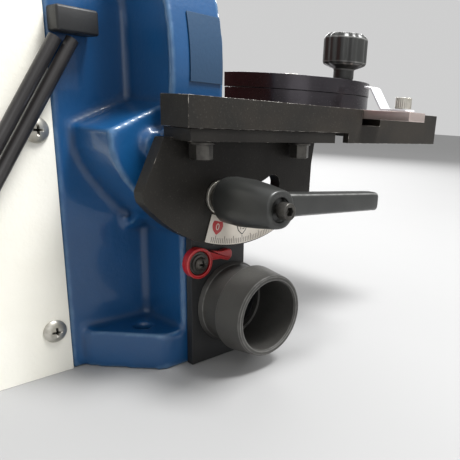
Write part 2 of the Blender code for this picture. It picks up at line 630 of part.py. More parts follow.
def make_mitre_gauge():
    """Bar, two-tier head, pivot pin, pointer with its screw, and the locking knob."""
    top = TABLE_TOP_Z
    bar = block("mitre_bar", BAR_X, (SLOT_Y - BAR_HALF, SLOT_Y + BAR_HALF), (top - BAR_THICK, top),
                STEEL, 0.3)
    put_origin(bar, HEAD_X, SLOT_Y, top)
    tiers = (("mitre_head_base", HEAD_R, HEAD_BASE_Z, HEAD_STEP_Z),
             ("mitre_head_top", HEAD_R + 0.3, HEAD_STEP_Z + GAP, HEAD_TOP_Z))
    for name, radius, low, high in tiers:
        tier = plate(name, "Z", half_round(radius), (low, high), IRON)
        cut(tier,
            plate("knob_slot", "Z", arc_slot(KNOB_X - HEAD_X, 3.6, KNOB_SLOT_ANGLE), (150.0, 190.0)),
            rod("pivot_bore", "Z", (HEAD_X, SLOT_Y), (150.0, 190.0), 4.2, sides=24))
        put_origin(tier, HEAD_X, SLOT_Y, top)
    pin = turned("mitre_pivot_pin", "Z", (HEAD_X, SLOT_Y), [
        (HEAD_BASE_Z, 0.0), (HEAD_BASE_Z, 3.9), (HEAD_TOP_Z + GAP, 3.9), (HEAD_TOP_Z + GAP, 7.0),
        (HEAD_TOP_Z + 3.0, 7.0), (HEAD_TOP_Z + 4.0, 5.5), (HEAD_TOP_Z + 4.0, 0.0)], STEEL)
    put_origin(pin, HEAD_X, SLOT_Y, top)
    knob = turned("mitre_knob", "Z", (KNOB_X, SLOT_Y), [
        (HEAD_BASE_Z, 0.0), (HEAD_BASE_Z, 2.9), (HEAD_TOP_Z + GAP, 2.9), (HEAD_TOP_Z + GAP, 7.0),
        (184.0, 7.0), (186.5, 14.0), (188.0, 15.0), (203.0, 15.0), (205.5, 13.0), (206.0, 10.0),
        (206.0, 0.0)], BLACK, 48)
    put_origin(knob, KNOB_X, SLOT_Y, 0.0)
    strip = [(161.0, top + GAP), (141.5, top + GAP), (132.5, 171.2), (127.5, 172.2), (127.5, 173.4),
             (133.1, 172.4), (142.2, top + GAP + 1.2), (161.0, top + GAP + 1.2)]
    pointer = plate("mitre_pointer", "Y", strip, (SLOT_Y - 5.5, SLOT_Y + 5.5), WHITE)
    cut(pointer, rod("pointer_hole", "Z", (155.5, SLOT_Y), (150.0, 170.0), 2.8, sides=20))
    screw = turned("pointer_screw", "Z", (155.5, SLOT_Y), [
        (top + GAP, 0.0), (top + GAP, 2.4), (top + 1.8, 2.4), (top + 1.8, 5.2), (166.4, 5.2), (167.0, 4.6),
        (167.0, 0.0)], STEEL)
    put_origin(pointer, HEAD_X, SLOT_Y, top)
    put_origin(screw, HEAD_X, SLOT_Y, top)


# ---------------------------------------------------------------- dust port, flap lever, switch, leads

def block_outline():
    """Outline of the chute block, (Y, Z)."""
    return [(-17.5, 0.3), (43.0, 0.3), (43.0, 44.0), (30.0, 54.0), (23.5, 60.0), (23.5, 83.0),
            (-17.5, 83.0)]


def make_dust_port():
    """Chute block with the round port on the right, blanking plate on the left."""
    right = plate("dust_block", "X", block_outline(), BLOCK_X, BLACK)
    cut(right,
        rod("block_bore", "X", (PORT_Y, PORT_Z), (80.0, 120.0), PORT_BORE_R - 1),
        rod("flap_bore", "X", (FLAP_Y, FLAP_Z), (98.0, 120.0), 2.9, sides=20))
    plate("port_blank", "X", block_outline(), (-BLOCK_X[1], -BLOCK_X[0]), BLACK)
    base, collar, mouth = PORT_X
    turned("dust_port", "X", (PORT_Y, PORT_Z), [
        (base, PORT_BORE_R - 1), (base, 26.5), (base + 3, 24.6), (collar - 1, 24.6), (collar, 27.6),
        (mouth - 1.0, 25.2), (mouth, 24.4), (mouth, 22.2), (mouth - 0.6, PORT_BORE_R),
        (base + 4, PORT_BORE_R), (base + 4, PORT_BORE_R - 1)], BLACK, 72)


def make_flap_lever():
    """Red lever with its ring, boss rings and screw, turning beside the chute."""
    low = BLOCK_X[1] + GAP
    ring = turned("flap_lever", "X", (FLAP_Y, FLAP_Z), [
        (low, 7.3), (low, 9.2), (low + 5.0, 9.2), (low + 5.0, 7.3)], RED)
    arm = [(FLAP_Y + 1.0, FLAP_Z + 9.0), (FLAP_Y + 10.0, FLAP_Z + 6.4), (9.0, 71.6), (10.0, 69.4),
           (8.6, 65.4), (FLAP_Y + 8.0, FLAP_Z + 0.8)]
    handle = plate("flap_arm", "X", arm, (low, low + 4.4))
    cut(handle, rod("flap_room", "X", (FLAP_Y, FLAP_Z), (95.0, 120.0), 8.0))
    fuse(ring, handle)
    put_origin(ring, 0.0, FLAP_Y, FLAP_Z)
    boss = turned("flap_boss", "X", (FLAP_Y, FLAP_Z), [
        (low, 2.9), (low, 7.0), (low + 4.0, 7.0), (low + 4.0, 5.6), (low + 5.4, 5.6),
        (low + 5.4, 2.9)], BLACK)
    put_origin(boss, 0.0, FLAP_Y, FLAP_Z)
    turned("flap_screw", "X", (FLAP_Y, FLAP_Z), [
        (98.3, 0.0), (98.3, 2.5), (low + 5.7, 2.5), (low + 5.7, 4.0), (low + 7.6, 4.0),
        (low + 8.4, 2.6), (low + 8.4, 0.0)], STEEL)


def make_switch():
    """Switch block on the toe with two push buttons."""
    front = TOE_FRONT_Y + GAP
    box = block("switch_block", (-36.0, 36.0), (front, front + 8.0), (7.0, 45.0), BLACK, 1.0)
    for name, x, radius, reach, colour in (("start_button", -16.0, 8.0, 4.0, GREEN),
                                           ("stop_button", 16.0, 10.0, 7.0, RED)):
        cut(box, rod("button_hole", "Y", (x, 26.0), (front - 5, front + 20), radius + 0.4))
        button = rod(name, "Y", (x, 26.0), (front + 3.6, front + 8.0 + reach), radius, colour)
        put_origin(button, x, front + 8.0, 26.0)


def make_leads():
    """Two leads held straight between their junction blocks on the enclosure's side."""
    run_y = LEAD_BOTTOM[0] - LEAD_TOP[0]
    run_z = LEAD_BOTTOM[1] - LEAD_TOP[1]
    length = math.hypot(run_y, run_z)
    for name, offset in (("motor_lead", 0.0), ("switch_lead", -LEAD_PITCH)):
        curve = bpy.data.curves.new(name, "CURVE")
        curve.dimensions = "3D"
        curve.bevel_depth = LEAD_R * MM
        curve.bevel_resolution = 2
        curve.use_fill_caps = True
        spline = curve.splines.new("POLY")
        count = 13
        spline.points.add(count - 1)
        for index, point in enumerate(spline.points):
            along = GAP / length + (1 - 2 * GAP / length) * index / (count - 1)
            point.co = (LEAD_X * MM, (LEAD_TOP[0] + offset + run_y * along) * MM,
                        (LEAD_TOP[1] + run_z * along) * MM, 1.0)
        lead = bpy.data.objects.new(name, curve)
        curve.materials.append(RUBBER)
        PARTS.objects.link(lead)
    face = BODY_HALF + GAP
    block("lead_block_upper", (face, face + 11.5), (-70.5, -49.0),
          (LEAD_TOP[1] + 2.2, LEAD_TOP[1] + 14.0), BLACK, 1.2)
    block("lead_block_lower", (face, face + 11.5), (-165.0, -141.0),
          (LEAD_BOTTOM[1] - 16.0, LEAD_BOTTOM[1] - 2.2), BLACK, 1.2)


make_body()
make_label()
make_disc()
make_motor()
make_cover()
make_table()
make_trunnion("trunnion_right", 1)
make_trunnion("trunnion_left", -1)
make_table_hardware()
make_clamp()
make_mitre_gauge()
make_dust_port()
make_flap_lever()
make_switch()
make_leads()
bpy.context.view_layer.update()
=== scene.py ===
"""Looks of a bench disc sander: cast body, motor enclosure, disc, tilting table, clamp, gauge and dust port.

Lengths in the tables below are millimetres in the model's frame: X to the dust-port side, Y to the
operator, Z up, with the bench at Z = 0.
"""
import math

import bmesh
import bpy
import numpy as np
from bpy.props import FloatProperty, FloatVectorProperty, IntProperty, PointerProperty
from mathutils import Matrix, Vector


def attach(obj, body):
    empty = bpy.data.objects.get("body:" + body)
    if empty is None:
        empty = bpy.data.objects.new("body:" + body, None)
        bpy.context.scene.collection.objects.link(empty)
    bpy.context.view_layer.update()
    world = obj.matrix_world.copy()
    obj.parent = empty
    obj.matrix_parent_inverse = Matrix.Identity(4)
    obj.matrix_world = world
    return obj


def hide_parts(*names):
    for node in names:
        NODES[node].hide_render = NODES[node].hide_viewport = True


bl_info = {
    "name": "Bench disc sander",
    "version": (1, 0, 0),
    "blender": (4, 5, 0),
    "location": "3D View > Sidebar > Sander",
    "description": "Builds the visible pieces of a bench disc sander round its packed frame",
    "category": "Add Mesh",
}

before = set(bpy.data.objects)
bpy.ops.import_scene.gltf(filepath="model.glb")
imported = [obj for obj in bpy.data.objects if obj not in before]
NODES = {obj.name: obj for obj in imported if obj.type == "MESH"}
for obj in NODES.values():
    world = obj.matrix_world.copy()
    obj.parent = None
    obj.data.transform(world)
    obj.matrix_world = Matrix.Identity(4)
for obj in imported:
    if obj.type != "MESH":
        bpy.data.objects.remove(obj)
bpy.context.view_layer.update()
MM = 0.001

DISC_CENTRE = (0.0, 172.0)
TABLE_TOP = 158.4
TILT = (5.0, TABLE_TOP)
CLAMP = (-10.0, 106.5)
PORT = (12.8, 36.2)
FLAP = (-15.2, 66.6)
GAUGE = (56.0, 108.7)
KNOB_X = 105.0
SCREW_SPOTS = [(side, y, z) for side in (1, -1) for y in (-80.5, -184.0) for z in (26.5, 137.0)]
BOLT_SPOTS = [(side * 124.0, y) for side in (1, -1) for y in (-27.6, 46.4)]
WEB_FACE_X = 117.3
SCALE_ZERO = -13.6
SCALE_FACE_X = 117.8


def srgb(red, green, blue):
    """Scene-linear colour of a display colour given as 0 to 255."""
    c = np.array([red, green, blue]) / 255.0
    return tuple(np.where(c <= 0.04045, c / 12.92, ((c + 0.055) / 1.055) ** 2.4)) + (1.0,)


# ---------------------------------------------------------------- finishes

class Socket:
    """An output socket; arithmetic on it adds Math nodes."""

    def __init__(self, finish, link):
        self.finish = finish
        self.link = link

    def math(self, operation, *values):
        """A Math node of that operation."""
        return self.finish.node("ShaderNodeMath", {"operation": operation}, dict(enumerate(values)))

    def __add__(self, other):
        return self.math("ADD", self, other)

    def __sub__(self, other):
        return self.math("SUBTRACT", self, other)

    def __rsub__(self, other):
        return self.math("SUBTRACT", other, self)

    def __mul__(self, other):
        return self.math("MULTIPLY", self, other)

    __radd__ = __add__
    __rmul__ = __mul__

    def between(self, low, high):
        """0 below low, 1 above high and a smooth step between them."""
        return self.finish.node(
            "ShaderNodeMapRange", {"interpolation_type": "SMOOTHSTEP"},
            {"Value": self, "From Min": low, "From Max": high})


class Finish:
    """One material, built through node(), noise(), tint() and surface()."""

    def __init__(self, name):
        self.material = bpy.data.materials.new(name)
        self.material.use_nodes = True
        self.tree = self.material.node_tree
        self.shader = self.tree.nodes["Principled BSDF"]
        self.where = self.node("ShaderNodeTexCoord", output="Object")

    def put(self, socket, value):
        """Link a socket to another, or set its own value."""
        if isinstance(value, Socket):
            self.tree.links.new(value.link, socket)
        else:
            socket.default_value = value

    def node(self, kind, settings=None, inputs=None, output=0):
        """A node of any kind: its settings first, then its inputs' values or links."""
        made = self.tree.nodes.new(kind)
        for key, value in (settings or {}).items():
            setattr(made, key, value)
        for key, value in (inputs or {}).items():
            self.put(made.inputs[key], value)
        return Socket(self, made.outputs[output])

    def stretched(self, stretch):
        """Object coordinates scaled along each axis."""
        return self.node("ShaderNodeMapping", None, {"Vector": self.where, "Scale": stretch})

    def noise(self, per_metre, detail=4.0, stretch=None, roughness=0.55):
        """Fractal noise, about that many lumps in a metre."""
        vector = self.where if stretch is None else self.stretched(stretch)
        return self.node("ShaderNodeTexNoise", None, {
            "Vector": vector, "Scale": per_metre, "Detail": detail, "Roughness": roughness})

    def cells(self, per_metre):
        """Distance to the nearest of scattered points."""
        return self.node("ShaderNodeTexVoronoi", None, {"Vector": self.where, "Scale": per_metre})

    def attribute(self, name):
        """A number kept on the mesh."""
        return self.node("ShaderNodeAttribute", {"attribute_name": name}, output="Fac")

    def tint(self, share, colour, other):
        """Mix two colours by a share from 0 to 1."""
        return self.node("ShaderNodeMix", {"data_type": "RGBA"}, {0: share, 6: colour, 7: other}, output=2)

    def surface(self, colour, roughness, metallic=0.0, height=None, depth_mm=0.02, constants=None):
        """Feed the shader: varying colour, roughness, metallic and height; plain numbers for the rest."""
        self.put(self.shader.inputs["Base Color"], colour)
        self.put(self.shader.inputs["Roughness"], roughness)
        self.put(self.shader.inputs["Metallic"], metallic)
        for key, value in (constants or {}).items():
            self.shader.inputs[key].default_value = value
        if height is not None:
            bump = self.node("ShaderNodeBump", None, {
                "Strength": 1.0, "Distance": depth_mm * MM, "Height": height}, output="Normal")
            self.put(self.shader.inputs["Normal"], bump)
        return self.material


def enamel(name, colour, shade, highlight_and_thin_paint, coat=0.4, roughness=0.3):
    """Gloss enamel on metal: slight orange peel, slow colour drift, edges lightened (thinner paint and painted
    highlight) and hollows darkened (painted shade).
    """
    f = Finish(name)
    drift = f.noise(14.0, 3.0)
    peel = f.noise(420.0, 2.0)
    dust = f.noise(1600.0, 2.0)
    edge = f.attribute("edge")
    crease = f.attribute("crease")
    rub = (edge * (0.55 + 0.9 * f.noise(120.0, 4.0))).between(0.6, 1.25)
    tone = f.tint(drift.between(0.35, 0.7) * 0.35, colour, shade)
    # painted shade: hollows (crease attribute) darkened towards the shade colour
    tone = f.tint(crease.between(0.2, 1.0) * 0.8, tone, shade)
    # edges lightened towards the third colour: partly thinner paint, partly painted highlight
    tone = f.tint(rub * 0.3, tone, highlight_and_thin_paint)
    rough = roughness + 0.10 * drift + 0.05 * dust + 0.12 * crease
    return f.surface(tone, rough, 0.0, 0.75 * peel + 0.25 * drift + 0.08 * dust, 0.16,
                     {"Coat Weight": coat, "Coat Roughness": 0.08})


def blackened(name, colour, shade, worn, bare=0.0, roughness=0.5, metallic=0.55, grain_mm=0.06,
              rub_at=(0.5, 0.9), fleck=0.08):
    """Blackened or black-painted iron: fine grain, brown drift and bright metal where rubbed."""
    f = Finish(name)
    drift = f.noise(22.0, 5.0)
    grain = f.noise(900.0, 4.0)
    pits = f.cells(520.0)
    edge = f.attribute("edge")
    rub = (edge * (0.4 + 0.9 * f.noise(260.0, 5.0)) + bare * f.noise(190.0, 6.0)).between(*rub_at)
    tone = f.tint(drift.between(0.35, 0.68), colour, shade)
    tone = f.tint(grain.between(0.55, 0.8) * fleck, tone, worn)
    tone = f.tint(rub, tone, worn)
    rough = (roughness + 0.22 * (grain - 0.5) + 0.16 * (drift - 0.5)) - 0.18 * rub
    return f.surface(tone, rough, metallic + (1.0 - metallic) * rub, grain + 0.4 * pits + 0.3 * drift, grain_mm,
                     {"Specular IOR Level": 0.32})


def ground_steel(name, colour, shade, stretch=(6.0, 900.0, 900.0), roughness=0.28):
    """Ground steel: long fine lines, faint stains and softly polished edges."""
    f = Finish(name)
    lines = f.noise(1.0, 3.0, stretch)
    stain = f.noise(38.0, 5.0)
    edge = f.attribute("edge")
    tone = f.tint(stain.between(0.45, 0.72) * 0.6 + 0.25 * lines, colour, shade)
    rough = roughness + 0.25 * (lines - 0.4) + 0.15 * stain - 0.08 * edge
    return f.surface(tone, rough, 0.96, lines + 0.3 * stain, 0.02)


def zinc(name, colour, shade, roughness=0.32, metallic=0.9):
    """Plated or oiled small hardware: clouded, with fine scuffs and recesses darkened to near black as painted
    shade.
    """
    f = Finish(name)
    cloud = f.noise(160.0, 5.0)
    scuff = f.noise(1.0, 4.0, (2600.0, 700.0, 1500.0))
    edge = f.attribute("edge")
    hollow = f.attribute("crease")
    tone = f.tint(cloud.between(0.35, 0.75), colour, shade)
    # painted shade: recesses (crease attribute) darkened to near black
    tone = f.tint(hollow, tone, srgb(28, 26, 24))
    rough = roughness + 0.3 * (scuff - 0.4) + 0.12 * cloud - 0.1 * edge + 0.2 * hollow
    return f.surface(tone, rough, metallic, scuff + 0.5 * cloud, 0.03)


def moulded(name, colour, shade, rubbed, roughness=0.5, grain_mm=0.05, texture=700.0, coat=0.0):
    """Moulded plastic or rubber: spark-eroded grain, grey rubbed edges, faint dust."""
    f = Finish(name)
    drift = f.noise(30.0, 4.0)
    grain = f.noise(texture, 3.0)
    edge = f.attribute("edge")
    rub = (edge * (0.35 + 0.9 * f.noise(210.0, 4.0))).between(0.35, 0.95)
    tone = f.tint(drift.between(0.35, 0.7), colour, shade)
    tone = f.tint(rub * 0.75, tone, rubbed)
    rough = roughness + 0.2 * (grain - 0.5) + 0.12 * (drift - 0.5)
    return f.surface(tone, rough, 0.0, grain + 0.3 * drift, grain_mm,
                     {"Coat Weight": coat, "Coat Roughness": 0.2})


def grit_sheet(name):
    """Aluminium-oxide abrasive: brown-red grains of two sizes with dark binder and dust streaks."""
    f = Finish(name)
    grains = f.cells(1500.0)
    fine = f.noise(2600.0, 3.0)
    wear = f.noise(16.0, 5.0)
    tone = f.tint(grains.between(0.15, 0.6), srgb(158, 44, 32), srgb(66, 16, 14))
    tone = f.tint(wear.between(0.5, 0.8) * 0.45, tone, srgb(150, 100, 74))
    tone = f.tint(fine.between(0.62, 0.75) * 0.5, tone, srgb(196, 150, 130))
    return f.surface(tone, 0.72 + 0.2 * (fine - 0.5), 0.0, 0.7 * (1.0 - grains) + 0.5 * fine, 0.25)


FINISH_MAKERS = {
    # enamel colours: base, a darker tone that also paints shade in hollows, and a lighter edge tone that is
    # partly painted highlight and partly thinner paint
    "blue_enamel": lambda own: enamel(own, tuple(tools().casting.colour) + (1.0,), srgb(12, 54, 92),
                                  srgb(128, 164, 190)),
    "cream_enamel": lambda own: enamel(own, tuple(tools().cover.colour) + (1.0,), srgb(226, 222, 206),
                                   srgb(250, 250, 246), 0.3, 0.38),
    "label_film": lambda own: enamel(own, srgb(36, 68, 98), srgb(28, 58, 86), srgb(90, 116, 140), 0.2, 0.35),
    "table_iron": lambda own: blackened(own, srgb(50, 46, 41), srgb(37, 36, 34), srgb(196, 190, 180),
                                    roughness=0.52, metallic=0.3, rub_at=(0.8, 1.15)),
    "table_edge": lambda own: blackened(own, srgb(78, 73, 67), srgb(58, 54, 50), srgb(226, 221, 212),
                                    bare=tools().table.wear, roughness=0.42, metallic=0.5, rub_at=(0.42, 0.62)),
    "trunnion_iron": lambda own: blackened(own, srgb(38, 36, 33), srgb(28, 26, 24), srgb(150, 146, 140),
                                       roughness=0.5, metallic=0.3, rub_at=(0.8, 1.15)),
    "trunnion_edge": lambda own: blackened(own, srgb(46, 43, 40), srgb(35, 33, 31), srgb(198, 192, 182),
                                       bare=0.75, roughness=0.45, metallic=0.4, rub_at=(0.42, 0.5)),
    "gauge_iron": lambda own: blackened(own, srgb(70, 67, 71), srgb(54, 51, 55), srgb(176, 172, 176),
                                    roughness=0.24, metallic=0.8, grain_mm=0.015, rub_at=(0.85, 1.2)),
    "gauge_edge": lambda own: blackened(own, srgb(82, 80, 84), srgb(62, 60, 64), srgb(196, 194, 196),
                                    bare=0.5, roughness=0.35, metallic=0.6, rub_at=(0.4, 0.7)),
    "screw_dark": lambda own: zinc(own, srgb(96, 93, 88), srgb(62, 59, 55), 0.4),
    "bright_steel": lambda own: zinc(own, srgb(206, 203, 194), srgb(166, 162, 150)),
    "bar_steel": lambda own: ground_steel(own, srgb(214, 200, 194), srgb(176, 150, 140)),
    "shaft_steel": lambda own: ground_steel(own, srgb(190, 190, 188), srgb(140, 138, 134),
                                        (900.0, 30.0, 900.0)),
    "black_oxide_steel": lambda own: zinc(own, srgb(92, 90, 86), srgb(58, 56, 54), 0.34, 0.85),
    "aluminium": lambda own: ground_steel(own, srgb(214, 214, 212), srgb(176, 176, 174),
                                      (500.0, 40.0, 500.0), 0.36),
    "motor_iron": lambda own: blackened(own, srgb(86, 88, 90), srgb(64, 66, 68), srgb(150, 150, 148)),
    "lever_black": lambda own: moulded(own, srgb(46, 47, 45), srgb(36, 37, 36), srgb(132, 132, 130), 0.4,
                                   0.03, 900.0, 0.15),
    "pipe_black": lambda own: moulded(own, srgb(66, 65, 62), srgb(52, 51, 49), srgb(120, 119, 116), 0.55,
                                  0.07, 620.0),
    "block_black": lambda own: moulded(own, srgb(40, 41, 42), srgb(30, 30, 31), srgb(84, 84, 84), 0.5),
    "red_plastic": lambda own: moulded(own, srgb(176, 24, 30), srgb(140, 14, 20), srgb(214, 92, 88), 0.36,
                                   0.03, 700.0, 0.3),
    "green_plastic": lambda own: moulded(own, srgb(30, 122, 60), srgb(22, 96, 46), srgb(110, 170, 124),
                                     0.36, 0.03, 700.0, 0.3),
    "lead_black": lambda own: moulded(own, srgb(44, 42, 42), srgb(34, 32, 32), srgb(96, 94, 94), 0.34,
                                  0.03, 500.0, 0.2),
    "scale_white": lambda own: moulded(own, srgb(214, 208, 198), srgb(188, 180, 168), srgb(236, 232, 224),
                                   0.42, 0.02),
    "scale_black": lambda own: moulded(own, srgb(40, 38, 36), srgb(30, 29, 28), srgb(90, 88, 84), 0.45, 0.01),
    "scale_red": lambda own: moulded(own, srgb(178, 52, 52), srgb(160, 40, 42), srgb(206, 110, 104), 0.4, 0.01),
    "pointer_clear": lambda own: moulded(own, srgb(232, 234, 238), srgb(214, 218, 224), srgb(250, 250, 252),
                                     0.22, 0.01, 400.0, 0.4),
    "abrasive_grit": lambda own: grit_sheet(own),
}


MADE = {}


def finish(name):
    """The named material, made when it is first asked for."""
    if name not in MADE:
        MADE[name] = FINISH_MAKERS[name](name)
    return MADE[name]


# ---------------------------------------------------------------- surfaces

def eased(points, reach, closed, steps=4, least_turn=22.0):
    """A polyline with its corners rounded, and how far round its corner each point is.

    A corner P becomes the curve (1-t)^2 A + 2t(1-t) P + t^2 B, where A and B lie `reach` back along
    its two sides, or 45 % of a side where that is less. Corners that turn little are kept. The second
    result is 4t(1-t) on the curves and 0 elsewhere.
    """
    p = np.asarray(points, float)
    before, after = np.roll(p, 1, 0) - p, np.roll(p, -1, 0) - p
    long_before = np.maximum(np.linalg.norm(before, axis=1, keepdims=True), 1e-9)
    long_after = np.maximum(np.linalg.norm(after, axis=1, keepdims=True), 1e-9)
    turn = np.degrees(np.arccos(np.clip(-(before * after).sum(1) / (long_before * long_after)[:, 0], -1, 1)))
    use = (turn > least_turn)[:, None] * 1.0
    if not closed:
        use[[0, -1]] = 0.0
    a = p + before * use * np.minimum(reach / long_before, 0.45)
    b = p + after * use * np.minimum(reach / long_after, 0.45)
    t = np.linspace(0.0, 1.0, steps + 1)[None, :, None]
    line = (1 - t) ** 2 * a[:, None] + 2 * t * (1 - t) * p[:, None] + t ** 2 * b[:, None]
    line = line.reshape(-1, p.shape[1])
    weight = (4 * t * (1 - t) * use[:, None]).reshape(-1)
    fresh = np.linalg.norm(line - np.roll(line, 1, 0), axis=1) > 1e-7
    fresh[0] = fresh[0] or not closed
    return line[fresh], weight[fresh]


def stand(axis, u, v, w):
    """Points from plane coordinates u, v and height w: (Y, Z, X), (X, Z, Y) or (X, Y, Z) by the axis."""
    order = {"X": (w, u, v), "Y": (u, w, v), "Z": (u, v, w)}[axis]
    return np.stack(np.broadcast_arrays(*order), axis=-1)


def skinned(name, rings, edge=None, loop=False, capped=True, crease=None):
    """Mesh over closed rings (ring, place, xyz): each ring joins the next in quads, end rings are filled."""
    count, around = rings.shape[:2]
    index = np.arange(count * around).reshape(count, around)
    low = index if loop else index[:-1]
    high = np.roll(index, -1, 0) if loop else index[1:]
    faces = np.stack([low, np.roll(low, -1, 1), np.roll(high, -1, 1), high], -1).reshape(-1, 4).tolist()
    if capped and not loop:
        faces += [index[0, ::-1].tolist(), index[-1].tolist()]
    mesh = bpy.data.meshes.new(name)
    mesh.from_pydata((rings.reshape(-1, 3) * MM).tolist(), [], faces)
    for key, values in (("edge", edge), ("crease", crease)):
        if values is not None:
            spread = np.broadcast_to(values if values.ndim == 2 else values[:, None], (count, around))
            layer = mesh.attributes.new(key, "FLOAT", "POINT")
            layer.data.foreach_set("value", spread.ravel().astype(np.float32))
    return closed_skin(mesh)


def closed_skin(mesh, sharp=38.0):
    """Join doubled points, point the faces outwards, and shade smooth up to a sharp angle."""
    bm = bmesh.new()
    bm.from_mesh(mesh)
    bmesh.ops.remove_doubles(bm, verts=bm.verts, dist=1e-7)
    bmesh.ops.recalc_face_normals(bm, faces=bm.faces)
    bm.to_mesh(mesh)
    bm.free()
    sides = np.zeros(len(mesh.polygons), np.int32)
    mesh.polygons.foreach_get("loop_total", sides)
    mesh.polygons.foreach_set("use_smooth", sides <= 4)
    mesh.set_sharp_from_angle(angle=math.radians(sharp))
    return mesh


def turned(name, axis, centre, profile, sides=96, ease=0.4, loop=False, shape=None, steps=4):
    """Turned piece: profile pairs (along, radius), eased, swept about the axis.

    A point is centre + along * axis + radius * shape(angle, along, radius) * (cos angle, sin angle).
    """
    line, edge = eased(profile, ease, loop, steps)
    angle = np.linspace(0.0, math.tau, sides, endpoint=False)[None, :]
    along, radius = line[:, :1], line[:, 1:]
    factor = 1.0 if shape is None else shape(angle, along, radius)
    u = centre[0] + radius * factor * np.cos(angle)
    v = centre[1] + radius * factor * np.sin(angle)
    return skinned(name, stand(axis, u, v, along + 0.0 * angle), edge, loop, capped=False)


def six_sided(angle):
    """Distance to a hexagon's side at an angle, the corner being 1."""
    return math.cos(math.pi / 6) / np.cos(np.mod(angle, math.pi / 3) - math.pi / 6)


def slab(name, axis, outline, low, high, edge=0.6, corner=1.0, steps=4):
    """Plate with rounded rims: the outline moved in by edge*(1 - sin t) at edge*(1 - cos t) from each face.

    t runs over a quarter turn; the outline moves along the mitre (n1 + n2) / (1 + n1.n2) of its sides' normals.
    """
    line, _ = eased(outline, corner, True)
    u, v = line.T
    if (u * np.roll(v, -1) - v * np.roll(u, -1)).sum() < 0:
        line = line[::-1]
    side = np.roll(line, -1, 0) - line
    side /= np.linalg.norm(side, axis=1, keepdims=True)
    normal = np.stack([-side[:, 1], side[:, 0]], 1)
    last = np.roll(normal, 1, 0)
    mitre = (normal + last) / np.maximum(1 + (normal * last).sum(1, keepdims=True), 0.35)
    t = np.linspace(0.0, math.pi / 2, steps + 1)
    inset = np.concatenate([edge * (1 - np.sin(t)), (edge * (1 - np.sin(t)))[::-1]])
    height = np.concatenate([low + edge * (1 - np.cos(t)), (high - edge * (1 - np.cos(t)))[::-1]])
    weight = np.concatenate([np.sin(2 * t), np.sin(2 * t)[::-1]])
    place = line[None] + inset[:, None, None] * mitre[None]
    return skinned(name, stand(axis, place[..., 0], place[..., 1], height[:, None]), weight)


def lofted(name, axis, sections, around=64, rings=None):
    """Skin over rounded sections |u/a|^n + |v/b|^n = 1, given as rows (w, u0, v0, a, b, n).

    With rings, the rows are joined by straight blends in that many steps.
    """
    rows = np.asarray(sections, float)
    if rings:
        key = np.linspace(0, len(rows) - 1, rings)
        rows = np.stack([np.interp(key, np.arange(len(rows)), column) for column in rows.T], 1)
    w, u0, v0, a, b, n = (column[:, None] for column in rows.T)
    angle = np.linspace(0.0, math.tau, around, endpoint=False)[None, :]
    cosine, sine = np.cos(angle), np.sin(angle)
    u = u0 + a * np.sign(cosine) * np.abs(cosine) ** (2 / n)
    v = v0 + b * np.sign(sine) * np.abs(sine) ** (2 / n)
    squareness = np.clip((n - 2) / 3, 0, 1) * np.abs(np.sin(2 * angle)) ** 6
    return skinned(name, stand(axis, u, v, w + 0.0 * angle), squareness)


def cross_head(name, axis, side, centre, face, radius, height, slot=2.9):
    """Domed screw head with a cross recess.

    Height over the face is h * sqrt(1 - (0.86 r/R)^2) less a cross whose depth falls from the middle to its ends.
    """
    r = np.concatenate([np.linspace(0.0, 0.62, 26), np.linspace(0.66, 1.0, 12)])[:, None] * radius
    angle = np.linspace(0.0, math.tau, 96, endpoint=False)[None, :]
    u, v = r * np.cos(angle + 0.5), r * np.sin(angle + 0.5)
    arm = np.maximum(1 - (np.abs(u) / 0.62) ** 4, 1 - (np.abs(v) / 0.62) ** 4)
    recess = np.clip(arm * 3, 0, 1) * np.clip(1.6 * (1 - r / slot), 0, 1)
    dome = height * (np.sqrt(1 - (0.86 * r / radius) ** 2) - 0.42) / 0.58
    w = np.clip(dome - recess * height * 0.62, 0.15, None)
    skirt = np.stack([centre[0] + radius * np.cos(angle + 0.5), centre[1] + radius * np.sin(angle + 0.5)], -1)
    top = stand(axis, centre[0] + u, centre[1] + v, face + side * w)
    foot = stand(axis, skirt[..., 0], skirt[..., 1], np.full_like(angle, face))
    return skinned(name, np.concatenate([top, foot]), np.zeros(len(r) + 1), capped=True,
                   crease=np.concatenate([recess, np.zeros_like(angle)]))


def tube(name, path, radius, around=32):
    """Round lead along a path in a plane of constant X: p + r (cos a * X + sin a * (T x X))."""
    p = np.asarray(path, float)
    along = np.gradient(p, axis=0)
    along /= np.linalg.norm(along, axis=1, keepdims=True)
    across = np.cross(along, (1.0, 0.0, 0.0))
    angle = np.linspace(0.0, math.tau, around, endpoint=False)
    ring = radius * (np.cos(angle)[None, :, None] * np.array([1.0, 0.0, 0.0])
                     + np.sin(angle)[None, :, None] * across[:, None])
    return skinned(name, p[:, None] + ring)


def welded(node, name):
    """A node's skin with its corners joined and its flat areas as single faces."""
    bm = bmesh.new()
    bm.from_mesh(NODES[node].data)
    bmesh.ops.remove_doubles(bm, verts=bm.verts, dist=1e-5)
    bmesh.ops.dissolve_limit(bm, angle_limit=math.radians(0.6), verts=bm.verts, edges=bm.edges)
    mesh = bpy.data.meshes.new(name)
    bm.to_mesh(mesh)
    bm.free()
    return mesh


def settle(mesh, body, finishes, stands_for=()):
    """Turn a mesh into a piece: materials, body, and the nodes it stands for."""
    item = bpy.data.objects.new(mesh.name, mesh)
    bpy.context.scene.collection.objects.link(item)
    mesh.materials.clear()
    for name in finishes:
        mesh.materials.append(finish(name))
    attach(item, body)
    if stands_for:
        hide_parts(*stands_for)
    return item


